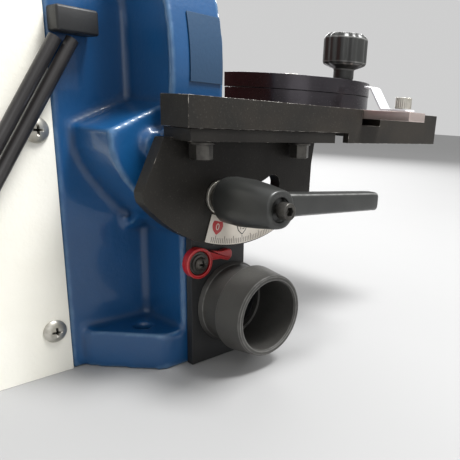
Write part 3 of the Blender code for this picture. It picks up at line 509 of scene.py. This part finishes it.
def trimmed(node, body, finishes, width, segments=3, angle=32.0):
    """A node's shape with its edges rounded; a second finish goes on the rounded edges."""
    mesh = welded(node, node + "_trimmed")
    item = settle(mesh, body, finishes, (node,))
    mesh.polygons.foreach_set("use_smooth", np.ones(len(mesh.polygons), bool))
    mesh.set_sharp_from_angle(angle=math.radians(angle))
    round_edges = item.modifiers.new("rounded edges", "BEVEL")
    round_edges.width = width * MM
    round_edges.segments = segments
    round_edges.limit_method = "ANGLE"
    round_edges.angle_limit = math.radians(angle)
    round_edges.harden_normals = True
    round_edges.material = len(finishes) - 1
    return item


def dress(node, name):
    """Give a carried node its finish."""
    mesh = NODES[node].data
    if mesh.materials:
        mesh.materials[0] = finish(name)
    else:
        mesh.materials.append(finish(name))


# ---------------------------------------------------------------- casting and enclosure

def cast_skin(node, name, voxel, passes):
    """A node's skin rebuilt in even squares and relaxed, so edges round and inner corners fill.

    Each vertex keeps how convex it is (edge) and how hollow it is (crease): the mean over its edges of
    the direction to the neighbour, dotted with the vertex normal, is negative on a ridge.
    """
    raw = welded(node, name + "_raw")
    item = bpy.data.objects.new(name + "_raw", raw)
    bpy.context.scene.collection.objects.link(item)
    grid = item.modifiers.new("even squares", "REMESH")
    grid.mode = "VOXEL"
    grid.voxel_size = voxel * MM
    relax = item.modifiers.new("relax", "SMOOTH")
    relax.factor = 0.5
    relax.iterations = passes
    graph = bpy.context.evaluated_depsgraph_get()
    mesh = bpy.data.meshes.new_from_object(item.evaluated_get(graph))
    bpy.data.objects.remove(item, do_unlink=True)
    bpy.data.meshes.remove(raw)
    mesh.name = name
    mesh.polygons.foreach_set("use_smooth", np.ones(len(mesh.polygons), bool))
    count = len(mesh.vertices)
    place, normal = np.zeros(count * 3, np.float32), np.zeros(count * 3, np.float32)
    pairs = np.zeros(len(mesh.edges) * 2, np.int32)
    mesh.vertices.foreach_get("co", place)
    mesh.vertices.foreach_get("normal", normal)
    mesh.edges.foreach_get("vertices", pairs)
    place, normal, pairs = place.reshape(-1, 3), normal.reshape(-1, 3), pairs.reshape(-1, 2)
    way = place[pairs[:, 1]] - place[pairs[:, 0]]
    way /= np.maximum(np.linalg.norm(way, axis=1, keepdims=True), 1e-9)
    bend, shares = np.zeros(count), np.zeros(count)
    for near, sign in ((0, 1.0), (1, -1.0)):
        np.add.at(bend, pairs[:, near], sign * (way * normal[pairs[:, near]]).sum(1))
        np.add.at(shares, pairs[:, near], 1.0)
    bend /= np.maximum(shares, 1.0)
    for _ in range(3):
        total = bend.copy()
        np.add.at(total, pairs[:, 0], bend[pairs[:, 1]])
        np.add.at(total, pairs[:, 1], bend[pairs[:, 0]])
        bend = total / (shares + 1.0)
    for key, values in (("edge", -bend), ("crease", bend)):
        mesh.attributes.new(key, "FLOAT", "POINT").data.foreach_set(
            "value", np.clip(values / 0.10, 0, 1).astype(np.float32))
    return mesh


def build_casting(settings):
    """Cast body with rounded edges and filleted corners, and the blank label on the guard."""
    mesh = cast_skin("body_casting", "casting", settings.square, settings.passes)
    settle(mesh, "base", ["blue_enamel"], ("body_casting",))
    trimmed("guard_label", "base", ["label_film"], 0.15, 2)
    trimmed("motor_mount_plate", "base", ["blue_enamel"], 0.6)


def build_cover(settings):
    """Sheet enclosure, vented back and eight cross-head screws."""
    trimmed("motor_cover", "base", ["cream_enamel"], settings.edge, 2)
    trimmed("cover_back", "base", ["cream_enamel"], 0.35, 2)
    for number, (side, y, z) in enumerate(SCREW_SPOTS, 1):
        head = cross_head(f"cover_screw_{number}_head", "X", side, (y, z), side * 58.3, 6.6, 3.2)
        settle(head, "base", ["bright_steel"], (f"cover_screw_{number}",))


def build_drive():
    """Finishes of the motor, its shaft, bearings and fan inside the enclosure."""
    table = {
        "motor_front_bell": "motor_iron", "motor_rear_bell": "motor_iron", "motor_can": "block_black",
        "motor_rotor": "black_oxide_steel", "cooling_fan": "block_black", "arbor_shaft": "shaft_steel",
        "front_bearing": "bright_steel", "motor_front_bearing": "bright_steel",
        "motor_rear_bearing": "bright_steel",
    }
    for node, name in table.items():
        dress(node, name)


def build_disc():
    """Aluminium disc with its hub and the abrasive sheet on its face."""
    plate = turned("disc_plate_turned", "Y", DISC_CENTRE, [
        (-18.0, 8.8), (-18.0, 22.0), (-8.0, 22.0), (-8.0, 101.6), (3.4, 101.6), (3.4, 8.8)], 192, 0.6, True)
    settle(plate, "disc", ["aluminium"], ("disc_plate",))
    sheet = turned("abrasive_sheet", "Y", DISC_CENTRE, [
        (3.7, 0.0), (3.7, 101.2), (4.5, 101.2), (4.5, 0.0)], 192, 0.2)
    settle(sheet, "disc", ["abrasive_grit"], ("abrasive_disc",))


# ---------------------------------------------------------------- table, trunnions and scale

def build_table(settings):
    """Cast table with worn rims."""
    trimmed("table_casting", "table", ["table_iron", "table_edge"], settings.edge)


def hex_head(angle, along, radius):
    """Factor that makes a bolt's head six-sided below its flange."""
    return np.where((along < 135.1) & (radius > 2.0), six_sided(angle) * 1.12, 1.0)


def build_trunnions():
    """Half-moon brackets and the four flanged bolts that hold the table."""
    for node in ("trunnion_right", "trunnion_left"):
        trimmed(node, "table", ["trunnion_iron", "trunnion_edge"], 0.7)
    for number, (x, y) in enumerate(BOLT_SPOTS, 1):
        bolt = turned(f"table_bolt_{number}_turned", "Z", (x, y), [
            (127.9, 0.0), (127.9, 1.6), (127.4, 2.6), (127.4, 4.6), (128.0, 5.4), (135.2, 5.4), (135.2, 6.6),
            (136.6, 6.6), (136.6, 3.9), (150.0, 3.9), (150.0, 0.0)], 72, 0.25, shape=hex_head)
        settle(bolt, "table", ["black_oxide_steel"], (f"table_bolt_{number}",))


def on_scale(angle_deg, radius, u, v):
    """(Y, Z) of local right u and up v at an angle and radius of the scale."""
    a = np.radians(angle_deg)
    y = TILT[0] + radius * np.sin(a) + u * np.cos(a) - v * np.sin(a)
    z = TILT[1] - radius * np.cos(a) + u * np.sin(a) + v * np.cos(a)
    return np.stack(np.broadcast_arrays(y, z), -1)


def shield(size):
    """Outline of a pointed badge, right and up."""
    return size * np.array([(-0.80, 0.95), (0.80, 0.95), (1.0, 0.35), (0.78, -0.35), (0.0, -1.05),
                            (-0.78, -0.35), (-1.0, 0.35)])


def tick_bars(name, degrees, inner, outer, width, low, high):
    """Many short bars in one mesh: eight corners each, at +-width/2 across and inner or outer radius."""
    corner = np.array([(s, r, h) for s in (-0.5, 0.5) for r in (0, 1) for h in (0, 1)], float)
    across = corner[None, :, 0] * width[:, None]
    radius = inner[:, None] + corner[None, :, 1] * (outer - inner[:, None])
    spot = on_scale(degrees[:, None], radius, across, 0.0)
    x = low + corner[:, 2] * (high - low)
    points = np.concatenate([np.broadcast_to(x[None, :, None], (*spot.shape[:2], 1)), spot], -1)
    box = np.array([(0, 1, 3, 2), (4, 6, 7, 5), (0, 4, 5, 1), (2, 3, 7, 6), (0, 2, 6, 4), (1, 5, 7, 3)])
    faces = (box[None] + 8 * np.arange(len(degrees))[:, None, None]).reshape(-1, 4)
    mesh = bpy.data.meshes.new(name)
    mesh.from_pydata((points.reshape(-1, 3) * MM).tolist(), [], faces.tolist())
    return closed_skin(mesh)


def numeral(name, text, size, angle_deg, radius, height):
    """A number as a mesh lying on the scale's face, upright towards the tilt axis."""
    curve = bpy.data.curves.new(name, "FONT")
    curve.body = text
    curve.size = size * MM
    curve.extrude = 0.03 * MM
    curve.align_x = "CENTER"
    curve.align_y = "CENTER"
    item = bpy.data.objects.new(name, curve)
    bpy.context.scene.collection.objects.link(item)
    graph = bpy.context.evaluated_depsgraph_get()
    mesh = bpy.data.meshes.new_from_object(item.evaluated_get(graph))
    bpy.data.objects.remove(item, do_unlink=True)
    a = math.radians(angle_deg)
    y, z = on_scale(angle_deg, radius, 0.0, 0.0)
    mesh.transform(Matrix(((0.0, 0.0, 1.0, height * MM), (math.cos(a), -math.sin(a), 0.0, y * MM),
                           (math.sin(a), math.cos(a), 0.0, z * MM), (0.0, 0.0, 0.0, 1.0))))
    mesh.name = name
    return mesh


def build_scale():
    """Graduated tilt scale: film plate, degree ticks, badges and numbers."""
    sweep = np.linspace(-18.4, 33.0, 60)
    outline = np.concatenate([on_scale(sweep, 80.2, 0.0, 0.0), on_scale(sweep[::-1], 64.2, 0.0, 0.0)])
    plate = slab("tilt_scale_plate", "X", outline, WEB_FACE_X, SCALE_FACE_X, 0.1, 0.3, 2)
    settle(plate, "table", ["scale_white"], ("tilt_scale",))
    mark = np.arange(-2, 47)
    inner = np.where(mark % 5 == 0, 75.3, 76.6)
    ticks = tick_bars("scale_ticks", SCALE_ZERO + mark, inner.astype(float), 79.6, np.full(len(mark), 0.34),
                      SCALE_FACE_X - 0.03, SCALE_FACE_X + 0.04)
    settle(ticks, "table", ["scale_black"])
    for value in (0, 15, 30, 45):
        at = SCALE_ZERO + value
        spot = on_scale(at, 71.0, shield(4.0)[:, 0], shield(4.0)[:, 1])
        badge = slab(f"scale_badge_{value}", "X", spot, SCALE_FACE_X - 0.03, SCALE_FACE_X + 0.05, 0.02, 0.8, 2)
        settle(badge, "table", ["scale_red" if value == 0 else "scale_black"])
        if value:
            spot = on_scale(at, 71.0, shield(3.3)[:, 0], shield(3.3)[:, 1])
            field = slab(f"scale_field_{value}", "X", spot, SCALE_FACE_X, SCALE_FACE_X + 0.08, 0.02, 0.7, 2)
            settle(field, "table", ["scale_white"])
        size = 5.4 if value == 0 else 4.2
        text = numeral(f"scale_number_{value}", str(value), size, at, 70.6, SCALE_FACE_X + 0.10)
        settle(text, "table", ["scale_white" if value == 0 else "scale_black"])


# ---------------------------------------------------------------- clamp

def socket_hole(angle, along, radius):
    """Factor that makes a cap screw's blind hole six-sided."""
    return np.where((along > 166.6) & (radius < 2.7), six_sided(angle) * 1.08, 1.0)


def build_clamp(settings):
    """Ratchet lever with its stud, washers and cap screw; a hex bolt and washer on the left."""
    face = WEB_FACE_X
    settle(turned("clamp_stud_turned", "X", CLAMP, [(90.3, 0.0), (90.3, 4.8), (150.0, 4.8), (150.0, 0.0)], 48),
           "base", ["bright_steel"], ("clamp_stud",))
    settle(turned("clamp_washer_turned", "X", CLAMP, [
        (face, 5.1), (face, 9.5), (face + 2.0, 9.5), (face + 2.0, 5.1)], 72, 0.5, True),
        "base", ["bright_steel"], ("clamp_washer",))
    settle(turned("clamp_spring_washer_turned", "X", CLAMP, [
        (face + 2.3, 5.1), (face + 2.3, 8.3), (face + 4.1, 8.3), (face + 4.1, 5.1)], 72, 0.5, True),
        "base", ["black_oxide_steel"], ("clamp_spring_washer",))
    y, z = CLAMP
    hub = lofted("lever_hub", "X", [
        (121.7, y, z, 8.3, 8.3, 2.0), (121.8, y, z, 8.8, 8.8, 2.0), (122.3, y, z, 9.2, 9.2, 2.0),
        (124.0, y, z, 9.4, 9.4, 2.0), (124.8, y, z, 10.2, 10.2, 2.1), (125.8, y, z, 11.4, 11.4, 2.3),
        (127.0, y, z, 12.2, 12.2, 2.5), (128.6, y, z, 12.4, 12.4, 2.8), (141.0, y, z, 12.4, 12.4, 3.0),
        (153.0, y, z, 11.2, 11.2, 2.9), (163.6, y, z, 9.9, 9.9, 2.5), (164.5, y, z, 9.7, 9.7, 2.3),
        (164.9, y, z, 9.3, 9.3, 2.2), (165.0, y, z, 8.7, 8.7, 2.0), (165.0, y, z, 6.9, 6.9, 2.0),
        (164.8, y, z, 6.6, 6.6, 2.0), (162.0, y, z, 6.4, 6.4, 2.0), (162.0, y, z, 0.01, 0.01, 2.0)])
    settle(hub, "clamp", ["lever_black"], ("clamp_lever",))
    tip = settings.reach
    arm = lofted("lever_arm", "Y", [
        (-6.0, 158.9, 107.2, 4.6, 7.3, 4.0), (-1.0, 158.9, 107.9, 5.3, 6.3, 5.0),
        (8.0, 158.9, 107.5, 5.4, 6.1, 5.0),
        (tip - 8.0, 158.9, 104.6, 5.4, 5.7, 5.0), (tip - 1.6, 158.9, 104.25, 5.35, 5.65, 4.8),
        (tip - 0.7, 158.9, 104.25, 5.1, 5.35, 4.4), (tip - 0.1, 158.9, 104.25, 4.6, 4.9, 4.0),
        (tip, 158.9, 104.25, 3.6, 4.0, 3.4)], 96)
    settle(arm, "clamp", ["lever_black"])
    cap = turned("clamp_cap_screw_turned", "X", CLAMP, [
        (154.0, 0.0), (154.0, 2.4), (165.3, 2.4), (165.3, 4.4), (171.3, 4.4), (171.3, 2.3), (168.0, 2.3),
        (167.4, 0.0)], 96, 0.55, shape=socket_hole)
    settle(cap, "clamp", ["black_oxide_steel"], ("clamp_cap_screw",))
    bolt = turned("left_clamp_bolt_turned", "X", CLAMP, [
        (-90.3, 0.0), (-90.3, 4.8), (-119.6, 4.8), (-119.6, 9.0), (-126.6, 9.0), (-126.6, 6.0), (-126.1, 5.0),
        (-126.1, 0.0)], 96, 0.4,
        shape=lambda angle, along, radius: np.where((along < -120.5) & (radius > 7.0), six_sided(angle), 1.0))
    settle(bolt, "base", ["black_oxide_steel"], ("left_clamp_bolt",))
    settle(turned("left_clamp_washer_turned", "X", CLAMP, [
        (-face, 5.1), (-face, 10.0), (-face - 2.0, 10.0), (-face - 2.0, 5.1)], 72, 0.5, True),
        "base", ["bright_steel"], ("left_clamp_washer",))


# ---------------------------------------------------------------- mitre gauge

def grip(count, depth, from_radius):
    """Factor for a gripped rim: shallow flutes where the radius is more than from_radius."""
    return lambda angle, along, radius: np.where(
        radius > from_radius, 1.0 - depth * np.abs(np.sin(count * angle / 2)) ** 3, 1.0)


def build_gauge(settings):
    """Bar, two-tier head, pivot pin, bent pointer, its knurled screw and the locking knob."""
    y = GAUGE[1]
    half = 9.55
    start, end = -83.0, 167.1
    bar = slab("mitre_bar_ground", "Z", [(start, y - half), (end, y - half), (end, y + half), (start, y + half)],
               152.8, TABLE_TOP, 0.35, 0.8)
    settle(bar, "gauge", ["bar_steel"], ("mitre_bar",))
    for node in ("mitre_head_base", "mitre_head_top"):
        trimmed(node, "gauge_head", ["gauge_iron", "gauge_edge"], settings.edge)
    pin = turned("mitre_pivot_pin_turned", "Z", GAUGE, [
        (158.7, 0.0), (158.7, 3.9), (177.5, 3.9), (177.5, 7.0), (180.2, 7.0), (181.2, 5.2), (181.2, 2.2),
        (179.6, 2.0), (179.6, 0.0)], 72, 0.4,
        shape=lambda angle, along, r: np.where((along > 179.0) & (r < 2.6), six_sided(angle) * 1.05, 1.0))
    settle(pin, "gauge", ["bright_steel"], ("mitre_pivot_pin",))
    trimmed("mitre_pointer", "gauge", ["pointer_clear"], 0.3)
    top = TABLE_TOP
    screw = turned("pointer_screw_turned", "Z", (155.5, y), [
        (top + 0.3, 0.0), (top + 0.3, 2.4), (top + 1.8, 2.4), (top + 1.8, 5.2), (167.0, 5.2), (167.0, 3.0),
        (166.4, 2.6), (166.4, 0.0)], 120, 0.35, shape=grip(24, 0.07, 4.6))
    settle(screw, "gauge", ["bright_steel"], ("pointer_screw",))
    knob = turned("mitre_knob_turned", "Z", (KNOB_X, y), [
        (158.7, 0.0), (158.7, 2.9), (177.5, 2.9), (177.5, 7.0), (184.0, 7.0), (186.5, 14.0), (188.0, 15.0),
        (203.0, 15.0), (205.6, 12.6), (206.0, 9.0), (205.6, 0.0)], 144, 1.0, shape=grip(12, 0.07, 12.5))
    settle(knob, "gauge_knob", ["lever_black"], ("mitre_knob",))


# ---------------------------------------------------------------- dust port, flap, switch and leads

def build_dust_port(settings):
    """Chute block, round hose port, blanking plate and the red flap lever."""
    trimmed("dust_block", "base", ["block_black"], 0.8)
    trimmed("port_blank", "base", ["block_black"], 0.8)
    lip = settings.lip
    port = turned("dust_port_turned", "X", PORT, [
        (101.8, 20.6), (101.8, 26.5), (104.6, 24.7), (118.2, 24.6), (119.6, 27.6), (138.4 - lip, 25.3),
        (138.4, 24.5),
        (138.4, 22.3), (138.4 - lip, 21.6), (105.8, 21.6), (105.8, 20.6)], 160, 0.9, True)
    settle(port, "base", ["pipe_black"], ("dust_port",))
    y, z = FLAP
    ring = turned("flap_ring", "X", FLAP, [
        (101.8, 7.3), (101.8, 9.2), (106.8, 9.2), (106.8, 7.3)], 96, 0.6, True)
    settle(ring, "flap", ["red_plastic"], ("flap_lever",))
    arm = slab("flap_arm", "X", [
        (y + 3.5, z + 8.3), (y + 9.5, z + 6.2), (y + 17.0, z + 4.9), (8.2, 72.4), (9.9, 70.2), (9.4, 66.8),
        (6.6, 64.9), (y + 16.0, z + 0.3), (y + 8.4, z + 0.4), (y + 8.0, z + 2.8), (y + 6.8, z + 5.2)],
        101.8, 106.2, 0.7, 1.6)
    settle(arm, "flap", ["red_plastic"])
    boss = turned("flap_boss_turned", "X", FLAP, [
        (101.8, 2.9), (101.8, 7.0), (104.4, 7.0), (104.4, 6.2), (104.9, 6.2), (104.9, 6.8), (106.0, 6.8),
        (106.0, 5.0), (106.6, 5.0), (106.6, 5.5), (107.2, 5.5), (107.2, 2.9)], 72, 0.25, True)
    settle(boss, "flap", ["black_oxide_steel"], ("flap_boss",))
    screw = cross_head("flap_screw_head", "X", 1, FLAP, 107.5, 4.0, 2.4, 2.6)
    settle(screw, "base", ["screw_dark"], ("flap_screw",))


def build_switch():
    """Switch block on the toe with its start and stop buttons."""
    trimmed("switch_block", "base", ["block_black"], 0.5)
    for body, x, radius, reach, name in (("start", -16.0, 8.0, 4.0, "green_plastic"),
                                         ("stop", 16.0, 10.0, 7.0, "red_plastic")):
        end = 54.3 + reach
        button = turned(f"{body}_button_turned", "Y", (x, 26.0), [
            (49.9, 0.0), (49.9, radius), (end, radius), (end, radius * 0.72), (end - 0.5, radius * 0.6),
            (end - 0.5, 0.0)], 96, 0.9)
        settle(button, body, [name], (f"{body}_button",))


def build_leads():
    """Two sheathed leads, straight between their junction blocks."""
    for name, shift in (("motor_lead", 0.0), ("switch_lead", -8.6)):
        t = np.linspace(0.004, 0.996, 40)[:, None]
        start = np.array([65.0, -61.0 + shift, 181.7])
        end = np.array([65.0, -147.9 + shift, 42.0])
        sheath = tube(name + "_sheath", start + t * (end - start), 3.2)
        settle(sheath, "base", ["lead_black"], (name,))
    for node in ("lead_block_upper", "lead_block_lower"):
        trimmed(node, "base", ["block_black"], 0.6)


# ---------------------------------------------------------------- stage

def softbox(name, place, aim, size, power, colour=(1.0, 1.0, 1.0)):
    """Area light at a point, turned to an aim point; lengths in metres."""
    light = bpy.data.lights.new(name, "AREA")
    light.shape = "RECTANGLE"
    light.size, light.size_y = size
    light.energy = power
    light.color = colour
    item = bpy.data.objects.new(name, light)
    item.location = place
    item.rotation_euler = (Vector(aim) - Vector(place)).to_track_quat("-Z", "Y").to_euler()
    bpy.context.scene.collection.objects.link(item)


def build_stage(settings):
    """Pale floor, even surroundings, soft lights and the camera."""
    scene = bpy.context.scene
    scene.view_settings.view_transform = "Standard"
    angle = np.linspace(0.0, math.tau, 96, endpoint=False)[None, :]
    radius = np.array([0.001, 1.0, 3.0, 9.0])[:, None] * 1000
    rings = stand("Z", radius * np.cos(angle), radius * np.sin(angle), -0.2 + 0.0 * radius * angle)
    floor_mesh = skinned("floor", rings, capped=False)
    f = Finish("pale_floor")
    cloud = f.noise(3.0, 3.0)
    floor_mesh.materials.append(f.surface(
        f.tint(cloud, tuple(settings.floor_colour) + (1.0,), srgb(164, 164, 164)), 0.7 + 0.1 * cloud))
    floor = bpy.data.objects.new("floor", floor_mesh)
    scene.collection.objects.link(floor)
    world = bpy.data.worlds.new("even_light")
    world.use_nodes = True
    world.node_tree.nodes["Background"].inputs["Color"].default_value = (1.0, 1.0, 1.0, 1.0)
    world.node_tree.nodes["Background"].inputs["Strength"].default_value = settings.surroundings
    scene.world = world
    power = settings.power
    softbox("key_light", (0.55, 0.30, 1.30), (0.05, 0.0, 0.1), (0.40, 0.40), 30.0 * power)
    softbox("rim_light", (-1.10, 1.25, 0.90), (0.0, 0.0, 0.1), (1.2, 0.7), 26.0 * power)
    softbox("fill_light", (1.40, -0.90, 0.60), (0.05, 0.0, 0.1), (0.9, 0.9), 2.5 * power)
    camera = bpy.data.cameras.new("view")
    camera.lens = 41.761
    camera.sensor_width = 36.0
    camera.shift_x = -0.18566
    camera.shift_y = 0.13490
    camera.clip_start = 0.02
    item = bpy.data.objects.new("view", camera)
    right = Vector((0.75630231, 0.65127357, 0.06204481))
    up = Vector((-0.24824278, 0.19793834, 0.94825942))
    back = Vector((0.60529525, -0.73257296, 0.31137519))
    turn = Matrix((right, up, back)).transposed().to_4x4()
    item.matrix_world = Matrix.Translation((0.350, -0.2027, 0.152)) @ turn
    scene.collection.objects.link(item)
    scene.camera = item


# ---------------------------------------------------------------- settings

class CastingSettings(bpy.types.PropertyGroup):
    """The cast body."""
    colour: FloatVectorProperty(name="Enamel", description="Colour of the body's enamel", subtype="COLOR",
                                default=srgb(14, 76, 126)[:3], min=0.0, max=1.0)
    square: FloatProperty(name="Skin square", description="Width of the cast skin's squares, in millimetres",
                          default=1.9, min=1.0, max=6.0)
    passes: IntProperty(name="Relaxing passes", description="More passes give rounder cast edges", default=2,
                        min=0, max=40)


class CoverSettings(bpy.types.PropertyGroup):
    """The motor enclosure."""
    colour: FloatVectorProperty(name="Enamel", description="Colour of the enclosure's enamel", subtype="COLOR",
                                default=srgb(244, 242, 232)[:3], min=0.0, max=1.0)
    edge: FloatProperty(name="Edge", description="Rounding of the sheet's edges, in millimetres", default=0.35,
                        min=0.05, max=0.55)


class TableSettings(bpy.types.PropertyGroup):
    """The table."""
    edge: FloatProperty(name="Edge", description="Rounding of the table's edges, in millimetres", default=0.6,
                        min=0.1, max=2.0)
    wear: FloatProperty(name="Edge wear", description="How much of the rounded edges is bare metal",
                        default=0.95, min=0.0, max=1.5, subtype="FACTOR")


class ClampSettings(bpy.types.PropertyGroup):
    """The clamping lever."""
    reach: FloatProperty(name="Lever tip", description="Y of the lever's tip, in millimetres", default=78.3,
                         min=40.0, max=78.3)


class GaugeSettings(bpy.types.PropertyGroup):
    """The mitre gauge."""
    edge: FloatProperty(name="Edge", description="Rounding of the head's edges, in millimetres", default=0.8,
                        min=0.1, max=2.0)


class DustSettings(bpy.types.PropertyGroup):
    """The dust port."""
    lip: FloatProperty(name="Lip", description="Length of the mouth's tapered lip, in millimetres", default=1.0,
                       min=0.4, max=3.0)


class StageSettings(bpy.types.PropertyGroup):
    """Floor and light."""
    floor_colour: FloatVectorProperty(name="Floor", description="Colour of the floor", subtype="COLOR",
                                      default=srgb(158, 158, 158)[:3], min=0.0, max=1.0)
    surroundings: FloatProperty(name="Surroundings", description="Strength of the even light all round",
                                default=0.62, min=0.0, max=3.0)
    power: FloatProperty(name="Lights", description="Strength of the soft lights", default=1.0, min=0.0,
                         max=5.0)


class SanderSettings(bpy.types.PropertyGroup):
    """Everything a user would change."""
    casting: PointerProperty(type=CastingSettings)
    cover: PointerProperty(type=CoverSettings)
    table: PointerProperty(type=TableSettings)
    clamp: PointerProperty(type=ClampSettings)
    gauge: PointerProperty(type=GaugeSettings)
    dust: PointerProperty(type=DustSettings)
    stage: PointerProperty(type=StageSettings)


def tools():
    """The scene's settings."""
    return bpy.context.scene.sander


# ---------------------------------------------------------------- operators

class SANDER_OT_casting(bpy.types.Operator):
    """Build the cast body, its label and the motor's mounting plate"""
    bl_idname = "sander.casting"
    bl_label = "Casting"

    def execute(self, context):
        build_casting(context.scene.sander.casting)
        return {"FINISHED"}


class SANDER_OT_cover(bpy.types.Operator):
    """Build the enclosure, its back and its screws"""
    bl_idname = "sander.cover"
    bl_label = "Enclosure"

    def execute(self, context):
        build_cover(context.scene.sander.cover)
        return {"FINISHED"}


class SANDER_OT_drive(bpy.types.Operator):
    """Finish the motor, shaft, bearings and fan"""
    bl_idname = "sander.drive"
    bl_label = "Drive"

    def execute(self, context):
        build_drive()
        return {"FINISHED"}


class SANDER_OT_disc(bpy.types.Operator):
    """Build the sanding disc and its abrasive sheet"""
    bl_idname = "sander.disc"
    bl_label = "Disc"

    def execute(self, context):
        build_disc()
        return {"FINISHED"}


class SANDER_OT_table(bpy.types.Operator):
    """Build the table"""
    bl_idname = "sander.table"
    bl_label = "Table"

    def execute(self, context):
        build_table(context.scene.sander.table)
        return {"FINISHED"}


class SANDER_OT_trunnions(bpy.types.Operator):
    """Build the half-moon brackets and the table bolts"""
    bl_idname = "sander.trunnions"
    bl_label = "Trunnions"

    def execute(self, context):
        build_trunnions()
        return {"FINISHED"}


class SANDER_OT_scale(bpy.types.Operator):
    """Build the tilt scale with its ticks and numbers"""
    bl_idname = "sander.scale"
    bl_label = "Tilt scale"

    def execute(self, context):
        build_scale()
        return {"FINISHED"}


class SANDER_OT_clamp(bpy.types.Operator):
    """Build the clamping lever and the left bolt"""
    bl_idname = "sander.clamp"
    bl_label = "Clamp"

    def execute(self, context):
        build_clamp(context.scene.sander.clamp)
        return {"FINISHED"}


class SANDER_OT_gauge(bpy.types.Operator):
    """Build the mitre gauge"""
    bl_idname = "sander.gauge"
    bl_label = "Mitre gauge"

    def execute(self, context):
        build_gauge(context.scene.sander.gauge)
        return {"FINISHED"}


class SANDER_OT_dust_port(bpy.types.Operator):
    """Build the chute block, the hose port and the flap lever"""
    bl_idname = "sander.dust_port"
    bl_label = "Dust port"

    def execute(self, context):
        build_dust_port(context.scene.sander.dust)
        return {"FINISHED"}


class SANDER_OT_switch(bpy.types.Operator):
    """Build the switch block and its buttons"""
    bl_idname = "sander.switch"
    bl_label = "Switch"

    def execute(self, context):
        build_switch()
        return {"FINISHED"}


class SANDER_OT_leads(bpy.types.Operator):
    """Build the two leads and their junction blocks"""
    bl_idname = "sander.leads"
    bl_label = "Leads"

    def execute(self, context):
        build_leads()
        return {"FINISHED"}


class SANDER_OT_stage(bpy.types.Operator):
    """Set the floor, the lights and the camera"""
    bl_idname = "sander.stage"
    bl_label = "Stage"

    def execute(self, context):
        build_stage(context.scene.sander.stage)
        return {"FINISHED"}


STEPS = (SANDER_OT_stage, SANDER_OT_casting, SANDER_OT_cover, SANDER_OT_drive, SANDER_OT_disc, SANDER_OT_table,
         SANDER_OT_trunnions, SANDER_OT_scale, SANDER_OT_clamp, SANDER_OT_gauge, SANDER_OT_dust_port,
         SANDER_OT_switch, SANDER_OT_leads)


class SANDER_PT_pieces(bpy.types.Panel):
    """Buttons and settings for each piece"""
    bl_label = "Bench disc sander"
    bl_space_type = "VIEW_3D"
    bl_region_type = "UI"
    bl_category = "Sander"

    def draw(self, context):
        for step in STEPS:
            self.layout.operator(step.bl_idname)
        settings = context.scene.sander
        for name in settings.bl_rna.properties.keys():
            group = getattr(settings, name)
            if isinstance(group, bpy.types.PropertyGroup):
                box = self.layout.box()
                for key in group.__annotations__:
                    box.prop(group, key)


CLASSES = (CastingSettings, CoverSettings, TableSettings, ClampSettings, GaugeSettings, DustSettings,
           StageSettings, SanderSettings, *STEPS, SANDER_PT_pieces)


def register():
    """Add the classes and the scene's settings."""
    for item in CLASSES:
        bpy.utils.register_class(item)
    bpy.types.Scene.sander = PointerProperty(type=SanderSettings)


def unregister():
    """Take them away again."""
    del bpy.types.Scene.sander
    for item in reversed(CLASSES):
        bpy.utils.unregister_class(item)


def main():
    """Register the classes and build everything in order."""
    register()
    for step in STEPS:
        group, name = step.bl_idname.split(".")
        getattr(getattr(bpy.ops, group), name)()


if __name__ == "__main__":
    main()
